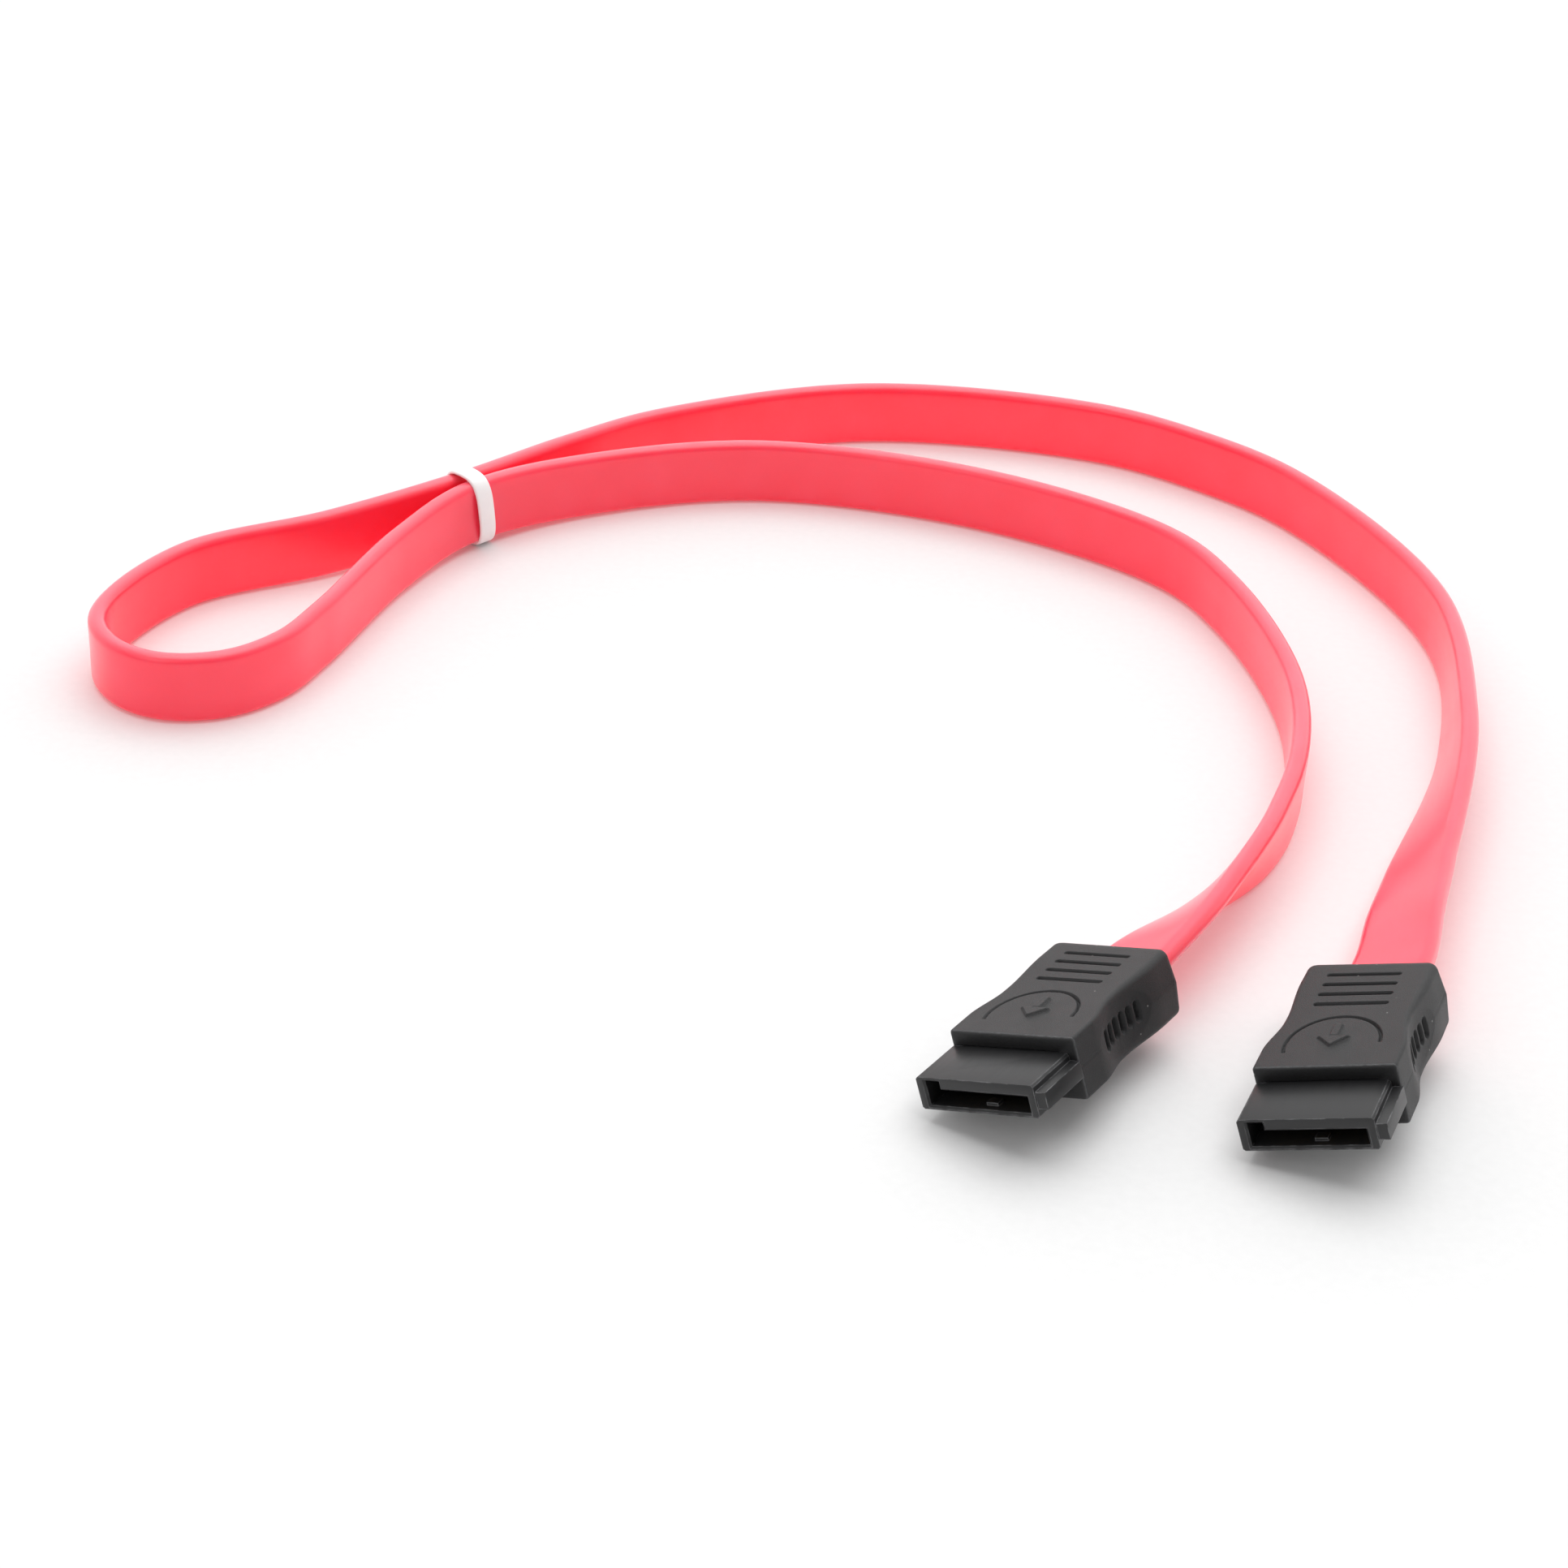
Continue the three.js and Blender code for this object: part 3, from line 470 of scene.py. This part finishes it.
def ribbon_surface(sizes, matrices):
    """The ribbon's grid of points, its ring centres and its own map.

    A ring stands across the line's direction. Its width points up, turned about the direction by
    (90 degrees less the plug's lean) times one less a smooth step of the distance from the plug.
    """
    length, height = sizes.hood_length / MM, sizes.hood_height / MM
    ends = [-RIBBON_SEAT, 0.0, RIBBON_STRAIGHT]
    points = np.vstack([
        behind_plug(matrices["left"], height, length, ends), np.array(ROUTE) / MM,
        behind_plug(matrices["right"], height, length, ends[::-1])])
    line, along = smooth_route(points, sizes.ribbon_rings)
    tangent = np.gradient(line, axis=0)
    tangent /= np.linalg.norm(tangent, axis=1, keepdims=True)
    side = np.cross([0.0, 0.0, 1.0], tangent)
    side /= np.linalg.norm(side, axis=1, keepdims=True)
    rise = np.cross(tangent, side)
    turn = np.zeros(len(line))
    for name, distance, sign in (("left", along, -1.0), ("right", along[-1] - along, 1.0)):
        plug = PLUGS[name]
        hold = 1.0 - smoothstep(distance, TWIST_HOLD, TWIST_HOLD + plug["twist"])
        turn += sign * math.radians(90.0 - plug["lean"]) * hold
    width = rise * np.cos(turn)[:, None] + side * np.sin(turn)[:, None]
    face = np.cross(width, tangent)
    section = ribbon_section(
        sizes.ribbon_width / MM, sizes.ribbon_thickness / MM, sizes.ribbon_edge / MM,
        RIBBON_DIP)
    grid = (line[:, None] + face[:, None] * section[None, :, :1]
            + width[:, None] * section[None, :, 1:])
    closing = np.vstack([section, section[:1]])
    around = np.concatenate([
        [0.0], np.cumsum(np.linalg.norm(np.diff(closing, axis=0), axis=1))])
    return grid * MM, line * MM, (along, around)


# Band


def band_surface(sizes, centre, heading, lean):
    """A soft ring round both strands: a flat profile with round edges carried round an oval.

    The oval is |y / a| ** n + |z / b| ** n = 1 with n = 3.2, a rounded box. Each of its points is
    pushed along the strands in proportion to its height, which leans the ring.
    """
    n = 3.2
    angle = np.linspace(0.0, 2 * np.pi, sizes.band_steps, endpoint=False)
    power = 2.0 / n
    across = np.sign(np.cos(angle)) * np.abs(np.cos(angle)) ** power
    up = np.sign(np.sin(angle)) * np.abs(np.sin(angle)) ** power
    thickness, width = sizes.band_thickness / MM, sizes.band_width / MM
    half_y = sizes.band_outer_width / MM / 2 - thickness / 2
    half_z = sizes.band_outer_height / MM / 2 - thickness / 2
    oval = np.stack([across * half_y, up * half_z], axis=1)
    forward = np.roll(oval, -1, axis=0) - np.roll(oval, 1, axis=0)
    forward /= np.linalg.norm(forward, axis=1, keepdims=True)
    outward = np.stack([forward[:, 1], -forward[:, 0]], axis=1)
    # A little under half the thickness, which keeps the inner face off the strands
    radius = thickness * 0.48
    turn = np.linspace(0.0, np.pi, 7)
    end = np.stack([
        width / 2 - radius + radius * np.sin(turn), -radius * np.cos(turn)], axis=1)
    profile = np.vstack([end, end[::-1] * (-1, 1)])
    along = profile[None, :, 0] + lean * oval[:, None, 1]
    y = oval[:, None, 0] + outward[:, None, 0] * profile[None, :, 1]
    z = oval[:, None, 1] + outward[:, None, 1] * profile[None, :, 1]
    cosine, sine = math.cos(heading), math.sin(heading)
    points = np.stack([
        centre[0] + along * cosine - y * sine, centre[1] + along * sine + y * cosine,
        centre[2] + z], axis=-1)
    return points * MM


def ring_mesh(name, points):
    """A mesh from a grid that closes both round its columns and round its rows."""
    rows, columns = points.shape[:2]
    index = np.arange(rows * columns).reshape(rows, columns)
    below, after = np.roll(index, -1, axis=0), np.roll(index, -1, axis=1)
    corner = np.roll(below, -1, axis=1)
    quads = np.stack([index, after, corner, below], axis=-1).reshape(-1, 4)
    mesh = bpy.data.meshes.new(name)
    mesh.from_pydata(points.reshape(-1, 3).tolist(), [], quads.tolist())
    mesh.polygons.foreach_set("use_smooth", np.ones(len(quads), dtype=bool))
    mesh.update()
    return mesh


# Hoods


def hood_outline(flank, corner, top):
    """The hood's outline as a table, one row for each point round it.

    For half-width w, draft d, corner radius r and half-height h, a point is
    y = a w + b d + c r and z = e h + f r. The columns are a, b, c, e, f and the outward normal.
    """
    up = np.arange(flank)[:, None] / flank
    turn = np.arange(corner)[:, None] / corner * np.pi / 2
    across = 1.0 - np.arange(top + 1)[:, None] / top
    one, none = np.ones_like, np.zeros_like
    rows = [
        np.hstack([one(up), -up, none(up), up, -up, one(up), none(up)]),
        np.hstack([one(turn), -one(turn), np.cos(turn) - 1, one(turn), np.sin(turn) - 1,
                   np.cos(turn), np.sin(turn)]),
        np.hstack([across, -across, -across, one(across), none(across), none(across),
                   one(across)]),
    ]
    quarter = np.vstack(rows)
    other = quarter[-2::-1] * (-1, -1, -1, 1, 1, -1, 1)
    upper = np.vstack([quarter, other])
    lower = upper[-2:0:-1] * (1, 1, 1, -1, -1, 1, -1)
    return np.vstack([upper, lower])


def hood_half_width(behind, sizes):
    """Half the hood's width behind its front: a straight collar, a smooth shoulder, a swell."""
    front, waist, rear = (
        sizes.hood_front / MM, sizes.hood_waist / MM, sizes.hood_rear / MM)
    shoulder = smoothstep(behind, COLLAR_END, WAIST_START)
    swell = smoothstep(behind, WAIST_END, SWELL_END)
    return (front - (front - waist) * shoulder + (rear - waist) * swell) / 2


def pressed(distance, depth, edge):
    """Depth of a pressed shape: full inside it, none outside, over a wall `edge` wide."""
    return depth * smoothstep(-distance, -edge / 2, edge / 2)


def bar_distance(u, v, half_length, radius):
    """Distance from a straight bar with round ends that lies along v, less than 0 inside it."""
    past = np.maximum(np.abs(v) - (half_length - radius), 0.0)
    return np.hypot(u, past) - radius


def hood_relief(x, y, z, facing, middle):
    """How far each point of the hood's skin is pressed in, in millimetres.

    Bars across the grip on both faces, an arched line and a plain arrow on the top, and on each
    flank a shallow finger dish, six upright slots in it and the fine line where the mould parts.
    x is 0 at the hood's front face and falls towards its rear.
    """
    top, bottom = facing > 0.5, facing < -0.5
    flank = np.abs(facing) < 0.5
    depth = np.zeros_like(x + y)

    # Four bars across the grip, from the rear one forward
    bars, rear_bar, bar_pitch, bar_half, bar_radius = 4, 15.6, 1.67, 3.45, 0.21
    for bar in range(bars):
        off_bar = bar_distance(x + rear_bar - bar_pitch * bar, y - 0.2, bar_half, bar_radius)
        groove = pressed(off_bar, depth=0.5, edge=0.12)
        depth = np.maximum(depth, np.where(top | bottom, groove, 0.0))

    # The arch is the rear part of an oval; it runs further forward on one side than on the other
    arch_behind, arch_aside, arch_long, arch_wide, arch_half_line = 3.9, 0.15, 4.42, 4.32, 0.12
    ahead, across = (x + arch_behind) / arch_long, (y - arch_aside) / arch_wide
    level = np.hypot(ahead, across)
    slope = np.hypot(ahead / arch_long, across / arch_wide) / np.maximum(level, 1e-6)
    line = np.abs(level - 1.0) / np.maximum(slope, 1e-6) - arch_half_line
    limit = np.where(y > arch_aside, -arch_behind, -2.5)
    arch = pressed(line, depth=0.34, edge=0.14) * (x < limit)
    depth = np.maximum(depth, np.where(top, arch, 0.0))

    # The arrow's shaft meets the base of its head, which narrows forward to a point
    arrow_aside, shaft_behind, shaft_half_long, shaft_half_wide = 0.1, 5.9, 1.0, 0.4
    head_base, head_half_wide, head_taper = 4.9, 1.5, 0.95
    off_middle = np.abs(y - arrow_aside)
    shaft = np.maximum(
        np.abs(x + shaft_behind) - shaft_half_long, off_middle - shaft_half_wide)
    flare = off_middle + (x + head_base) * head_taper - head_half_wide
    head = np.maximum(-(x + head_base), flare * 0.72)
    arrow = pressed(np.minimum(shaft, head), depth=0.24, edge=0.16)
    depth = depth - np.where(top, arrow, 0.0)

    # The finger dish is a shallow oval hollow, 0.22 deep in its middle
    dish_behind, dish_long, dish_high, dish_depth = 8.4, 4.6, 2.5, 0.22
    rise = z - middle
    dish = np.clip(
        1.0 - ((x + dish_behind) / dish_long) ** 2 - (rise / dish_high) ** 2, 0.0, 1.0)
    side = dish_depth * dish**0.8

    # Six slots stand in the dish, from the front one back
    slots, front_slot, slot_pitch, slot_half, slot_radius = 6, 5.5, 1.14, 1.0, 0.36
    for slot in range(slots):
        off_slot = bar_distance(x + front_slot + slot_pitch * slot, rise, slot_half, slot_radius)
        side = side + pressed(off_slot, depth=0.7, edge=0.16)
    parting_line = pressed(np.abs(rise - 0.15) - 0.03, depth=0.05, edge=0.1)
    side = np.maximum(side, parting_line)
    return depth + np.where(flank, side, 0.0)


def hood_surface(sizes):
    """The hood as one closed grid in the plug's frame, in millimetres.

    Rows run from the bottom of the housing's pocket out over the front edge, back along the body,
    round the rear edge and into the ribbon's pocket. Each row has its place, half-width,
    half-height, corner radius, draft and middle, which the outline's table turns into points.
    """
    length, height = sizes.hood_length / MM, sizes.hood_height / MM
    half = height / 2
    # Each mouth is a little wider than what it holds, and wider by as much again at its rim
    play, ribbon_play = 0.04, 0.06
    mouth_width, mouth_height = TONGUE_WIDTH / 2 + play, TONGUE_HEIGHT / 2 + play
    ribbon_wide, ribbon_high = sizes.ribbon_width / MM / 2, sizes.ribbon_thickness / MM / 2
    turn = np.linspace(0.0, np.pi / 2, 7)
    body = np.linspace(-FRONT_ROUND, -length + REAR_ROUND, sizes.hood_rows)

    def skin(x, inset, sink):
        back = smoothstep(-x, COLLAR_END, length)
        radius = EDGE_FRONT + (EDGE_REAR - EDGE_FRONT) * back
        draft = 0.3 * back
        row = np.broadcast_arrays(
            x, hood_half_width(-x, sizes) - inset, half - sink, radius, draft, HOOD_OFFSET)
        return np.stack(row, axis=1)

    def pocket(places, half_width, half_height, radius, middle):
        return np.array([[x, half_width, half_height, radius, 0.0, middle] for x in places])

    front_inset = FRONT_ROUND * (1 - np.sin(turn))
    rear_inset = REAR_ROUND * (1 - np.sin(turn[::-1]))
    front_rows = np.vstack([
        pocket([-HOUSING_SEAT - SEAT_GAP, -0.3, -0.04], mouth_width, mouth_height, 0.1, 0.0),
        pocket([0.0], mouth_width + play, mouth_height + play, 0.12, 0.0),
        skin(np.array([0.0]), FRONT_ROUND + 0.04, FRONT_ROUND + 0.04),
        skin(-FRONT_ROUND * (1 - np.cos(turn)), front_inset, front_inset),
    ])
    body_rows = skin(body[1:-1], 0.0, 0.0)
    rear_rows = np.vstack([
        skin(-length + REAR_ROUND * (1 - np.cos(turn[::-1])), rear_inset, rear_inset / 2),
        skin(np.array([-length]), REAR_ROUND + 0.06, REAR_ROUND / 2 + 0.06),
        pocket([-length], ribbon_wide + 2 * ribbon_play, ribbon_high + 2 * ribbon_play, 0.98,
               HOOD_OFFSET),
        pocket([-length + 0.06, -length + 0.3, -length + RIBBON_SEAT + SEAT_GAP],
               ribbon_wide + ribbon_play, ribbon_high + ribbon_play, 0.94, HOOD_OFFSET),
    ])
    rows = np.vstack([front_rows, body_rows, rear_rows])
    table = hood_outline(**HOOD_POINTS)
    x, w, h, r, d, middle = (rows[:, k, None] for k in range(6))
    a, b, c, e, f, out_y, out_z = (table[None, :, k] for k in range(7))
    y = middle + a * w + b * d + c * r
    z = half + e * h + f * r

    # Towards the rear the top rises a little on one side and the underside sinks on the other
    top_rise, under_sink = 0.3, 0.45
    back = smoothstep(-x, COLLAR_END, length)
    side = np.clip((y - middle) / (2 * w) + 0.5, 0.0, 1.0)
    level = z / height
    on_skin = np.where((w > mouth_width + 0.1) & (h > mouth_height + 0.1), 1.0, 0.0)
    z = z + on_skin * back * (top_rise * (1 - side) * level - under_sink * side * (1 - level))

    on_body = np.zeros(len(rows))
    on_body[len(front_rows) : len(front_rows) + len(body_rows)] = 1.0
    relief = hood_relief(x, y, z, out_z, half) * on_body[:, None]
    return np.stack([
        np.broadcast_to(x, y.shape), y - out_y * relief, z - out_z * relief], axis=-1)


# Plug housings


def housing_mesh(name, node, matrix, bevel):
    """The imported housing, merged into flat faces, with its shoulder brought up to the hood.

    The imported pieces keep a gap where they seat. Points in that gap's plane move back to within
    0.02 mm of the hood's front face, as the hood is moulded onto the housing.
    """
    same_point, closed_gap = 0.002 * MM, 0.02
    flat_angle, sharp_angle, shading_angle = (math.radians(a) for a in (1.0, 20.0, 40.0))
    form = bmesh.new()
    form.from_mesh(node.data)
    bmesh.ops.remove_doubles(form, verts=form.verts, dist=same_point)
    inverse = matrix.inverted()
    for vertex in form.verts:
        local = inverse @ (vertex.co / MM)
        if abs(local.x - SEAT_GAP) < closed_gap:
            local.x = closed_gap
            vertex.co = (matrix @ local) * MM
    bmesh.ops.dissolve_limit(form, angle_limit=flat_angle, verts=form.verts, edges=form.edges)
    sharp = [e for e in form.edges
             if len(e.link_faces) == 2 and e.calc_face_angle(0.0) > sharp_angle]
    bmesh.ops.bevel(
        form, geom=sharp, offset=bevel, offset_type="OFFSET", segments=2, profile=0.6,
        affect="EDGES", clamp_overlap=True)
    mesh = bpy.data.meshes.new(name)
    form.to_mesh(mesh)
    form.free()
    place = np.zeros(len(mesh.vertices) * 3)
    mesh.vertices.foreach_get("co", place)
    back = np.array(inverse)
    local = place.reshape(-1, 3) / MM @ back[:3, :3].T + back[:3, 3]
    layer = mesh.attributes.new("plug_place", "FLOAT_VECTOR", "POINT")
    layer.data.foreach_set("vector", local.ravel())
    mesh.polygons.foreach_set("use_smooth", np.ones(len(mesh.polygons), dtype=bool))
    mesh.set_sharp_from_angle(angle=shading_angle)
    mesh.update()
    return mesh


# Settings


class CableSizes(bpy.types.PropertyGroup):
    """Sizes of the cable's pieces."""

    ribbon_width: FloatProperty(
        name="Ribbon width", description="Width of the flat ribbon", default=0.0078,
        unit="LENGTH", precision=5)
    ribbon_thickness: FloatProperty(
        name="Ribbon thickness", description="Thickness of the flat ribbon", default=0.002,
        unit="LENGTH", precision=5)
    ribbon_edge: FloatProperty(
        name="Ribbon edge radius", description="Radius of the ribbon's round edges",
        default=0.0009, unit="LENGTH", precision=5)
    ribbon_rings: IntProperty(
        name="Ribbon rings", description="Cross-sections along the ribbon", default=900, min=100)
    band_width: FloatProperty(
        name="Band width", description="Width of the band along the strands", default=0.0023,
        unit="LENGTH", precision=5)
    band_thickness: FloatProperty(
        name="Band thickness", description="Thickness of the band", default=0.0005,
        unit="LENGTH", precision=5)
    band_outer_width: FloatProperty(
        name="Band outer width", description="Outer size of the band across the strands",
        default=0.00615, unit="LENGTH", precision=5)
    band_outer_height: FloatProperty(
        name="Band outer height", description="Outer height of the band", default=0.0093,
        unit="LENGTH", precision=5)
    band_steps: IntProperty(
        name="Band steps", description="Steps round the band", default=180, min=24)
    hood_length: FloatProperty(
        name="Hood length", description="Length of a plug's moulded hood", default=0.018,
        unit="LENGTH", precision=5)
    hood_height: FloatProperty(
        name="Hood height", description="Height of a plug's moulded hood", default=0.0061,
        unit="LENGTH", precision=5)
    hood_front: FloatProperty(
        name="Hood front width", description="Width of the hood at its front face",
        default=0.01315, unit="LENGTH", precision=5)
    hood_waist: FloatProperty(
        name="Hood waist width", description="Width of the hood at its waist", default=0.01172,
        unit="LENGTH", precision=5)
    hood_rear: FloatProperty(
        name="Hood rear width", description="Width of the hood near its rear face",
        default=0.0129, unit="LENGTH", precision=5)
    hood_rows: IntProperty(
        name="Hood rows", description="Cross-sections along the hood", default=200, min=40)
    housing_edge: FloatProperty(
        name="Housing edge", description="Radius of the plug housing's edges", default=0.00009,
        unit="LENGTH", precision=6)


class CableColours(bpy.types.PropertyGroup):
    """Colours of the moulded pieces."""

    hood: FloatVectorProperty(
        name="Hood", description="Colour of the moulded hoods", subtype="COLOR", size=3,
        min=0.0, max=1.0, default=linear("#1d1d1e"))
    housing: FloatVectorProperty(
        name="Plug housing", description="Colour of the plug housings", subtype="COLOR", size=3,
        min=0.0, max=1.0, default=linear("#1a1a1b"))


# Operators


def all_matrices(sizes):
    """Plug frame to row frame for both plugs."""
    return {name: plug_matrix(plug, sizes.hood_front / MM / 2) for name, plug in PLUGS.items()}


class CABLE_OT_stage(bpy.types.Operator):
    """Lay the paper floor, hang the soft lamps and set the camera as the photograph has it"""

    bl_idname = "cable.stage"
    bl_label = "Stage"

    def execute(self, context):
        # The paper reaches 3 m each way, past all that the camera and the gloss see
        paper = bpy.data.meshes.new("paper_floor")
        reach = 3.0
        corners = [(-reach, -reach, 0), (reach, -reach, 0), (reach, reach, 0), (-reach, reach, 0)]
        paper.from_pydata(corners, [], [(0, 1, 2, 3)])
        paper.materials.append(sweep_paper())
        floor = bpy.data.objects.new("paper_floor", paper)
        context.collection.objects.link(floor)

        # Place, size and power of each soft lamp, and the point that it faces
        lamps = (
            ("overhead_softbox", (0.05, 0.25, 1.1), 1.3, 11.0, (-0.03, 0.05, 0.0)),
            ("front_fill", (-0.7, -0.9, 0.8), 0.9, 3.0, (-0.03, 0.02, 0.0)),
        )
        for name, place, size, power, aim in lamps:
            lamp = bpy.data.lights.new(name, "AREA")
            lamp.shape = "SQUARE"
            lamp.size = size
            lamp.energy = power
            holder = bpy.data.objects.new(name, lamp)
            holder.location = place
            direction = Vector(aim) - Vector(place)
            holder.rotation_euler = direction.to_track_quat("-Z", "Y").to_euler()
            context.collection.objects.link(holder)

        world = bpy.data.worlds.new("white_room")
        world.use_nodes = True
        world.node_tree.nodes.clear()
        # A white room whose far wall is lit more than the side where the camera stands
        direction = add_node(world.node_tree, "ShaderNodeTexCoord").outputs["Generated"]
        parts = add_node(world.node_tree, "ShaderNodeSeparateXYZ", inputs={"Vector": direction})
        room = add_node(world.node_tree, "ShaderNodeBackground", inputs={
            "Color": (1.0, 1.0, 1.0, 1.0),
            "Strength": spread(world.node_tree, parts.outputs["Y"], 0.18, 1.8, start=-0.6)})
        end = add_node(world.node_tree, "ShaderNodeOutputWorld")
        world.node_tree.links.new(room.outputs["Background"], end.inputs["Surface"])
        context.scene.world = world
        context.scene.view_settings.view_transform = "Standard"

        # The lens and place that were fitted to both plugs in the photograph
        lens = bpy.data.cameras.new("photo_camera")
        lens.sensor_width = 36.0
        lens.lens = 70.94
        lens.clip_start = 0.01
        camera = bpy.data.objects.new("photo_camera", lens)
        pitch, roll = math.radians(30.869), math.radians(3.08)
        right = np.array([1.0, 0.0, 0.0])
        up = np.array([0.0, math.sin(pitch), math.cos(pitch)])
        back = np.array([0.0, -math.cos(pitch), math.sin(pitch)])
        turned = math.cos(roll) * right + math.sin(roll) * up
        upright = math.cos(roll) * up - math.sin(roll) * right
        axes = np.stack([turned, upright, back], axis=1)
        place = Matrix.Translation((-0.037084, -0.224882, 0.16456))
        camera.matrix_world = place @ Matrix(axes.tolist()).to_4x4()
        context.collection.objects.link(camera)
        context.scene.camera = camera
        return {"FINISHED"}


class CABLE_OT_band(bpy.types.Operator):
    """Make the soft white band round the two strands"""

    bl_idname = "cable.band"
    bl_label = "Band"

    def execute(self, context):
        sizes = context.scene.cable_sizes
        points = band_surface(sizes, BAND_PLACE, BAND_HEADING, BAND_LEAN)
        placed("strand_band", ring_mesh("strand_band", points), band_plastic(), ["band"])
        return {"FINISHED"}


class CABLE_OT_ribbon(bpy.types.Operator):
    """Lay the flat ribbon along its route, from inside one hood to inside the other"""

    bl_idname = "cable.ribbon"
    bl_label = "Ribbon"

    def execute(self, context):
        sizes = context.scene.cable_sizes
        matrices = all_matrices(sizes)
        grid, line, run = ribbon_surface(sizes, matrices)
        mesh = closed_mesh("flat_ribbon", grid, own_uv=run)
        face = (sizes.ribbon_width - 2 * sizes.ribbon_edge) / MM
        pvc = ribbon_pvc(face, float(run[1][-1]) / 2)
        piece = placed("flat_ribbon", mesh, pvc, ["ribbon"])
        return {"FINISHED"}


class CABLE_OT_hoods(bpy.types.Operator):
    """Make the moulded hood of each plug"""

    bl_idname = "cable.hoods"
    bl_label = "Hoods"

    def execute(self, context):
        sizes = context.scene.cable_sizes
        points = hood_surface(sizes)
        material = hood_pvc(tuple(context.scene.cable_colours.hood))
        for name, matrix in all_matrices(sizes).items():
            mesh = closed_mesh(
                f"{name}_moulded_hood", carry(points, matrix)[:, ::-1],
                own_place=points[:, ::-1])
            placed(f"{name}_moulded_hood", mesh, material, [f"{name}_hood"])
        return {"FINISHED"}


class CABLE_OT_housings(bpy.types.Operator):
    """Make the plug housing that stands out of each hood"""

    bl_idname = "cable.housings"
    bl_label = "Plug housings"

    def execute(self, context):
        sizes = context.scene.cable_sizes
        material = housing_nylon(tuple(context.scene.cable_colours.housing))
        for name, matrix in all_matrices(sizes).items():
            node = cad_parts[f"{name}_plug_housing"]
            mesh = housing_mesh(f"{name}_slot_housing", node, matrix, sizes.housing_edge)
            placed(f"{name}_slot_housing", mesh, material, [f"{name}_plug_housing"])
        return {"FINISHED"}


class CABLE_OT_contacts(bpy.types.Operator):
    """Give the contact springs their gold plating"""

    bl_idname = "cable.contacts"
    bl_label = "Contacts"

    def execute(self, context):
        gold = contact_gold()
        for name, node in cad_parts.items():
            if "_contact_" in name:
                node.data.materials.clear()
                node.data.materials.append(gold)
        return {"FINISHED"}


class CABLE_PT_pieces(bpy.types.Panel):
    """Lists the pieces of the cable and their sizes"""

    bl_idname = "CABLE_PT_pieces"
    bl_label = "Data cable"
    bl_space_type = "VIEW_3D"
    bl_region_type = "UI"
    bl_category = "Data cable"

    def draw(self, context):
        layout = self.layout
        for operator in OPERATORS:
            layout.operator(operator.bl_idname)
        for group in (context.scene.cable_sizes, context.scene.cable_colours):
            for name in group.bl_rna.properties.keys():
                if name not in ("rna_type", "name"):
                    layout.prop(group, name)


OPERATORS = (
    CABLE_OT_stage, CABLE_OT_band, CABLE_OT_ribbon, CABLE_OT_hoods, CABLE_OT_housings,
    CABLE_OT_contacts,
)
CLASSES = (CableSizes, CableColours, *OPERATORS, CABLE_PT_pieces)


def register():
    for item in CLASSES:
        bpy.utils.register_class(item)
    bpy.types.Scene.cable_sizes = PointerProperty(type=CableSizes)
    bpy.types.Scene.cable_colours = PointerProperty(type=CableColours)


def unregister():
    del bpy.types.Scene.cable_colours
    del bpy.types.Scene.cable_sizes
    for item in reversed(CLASSES):
        bpy.utils.unregister_class(item)


def main():
    register()
    bpy.ops.cable.stage()
    bpy.ops.cable.band()
    bpy.ops.cable.ribbon()
    bpy.ops.cable.hoods()
    bpy.ops.cable.housings()
    bpy.ops.cable.contacts()


if __name__ == "__main__":
    main()
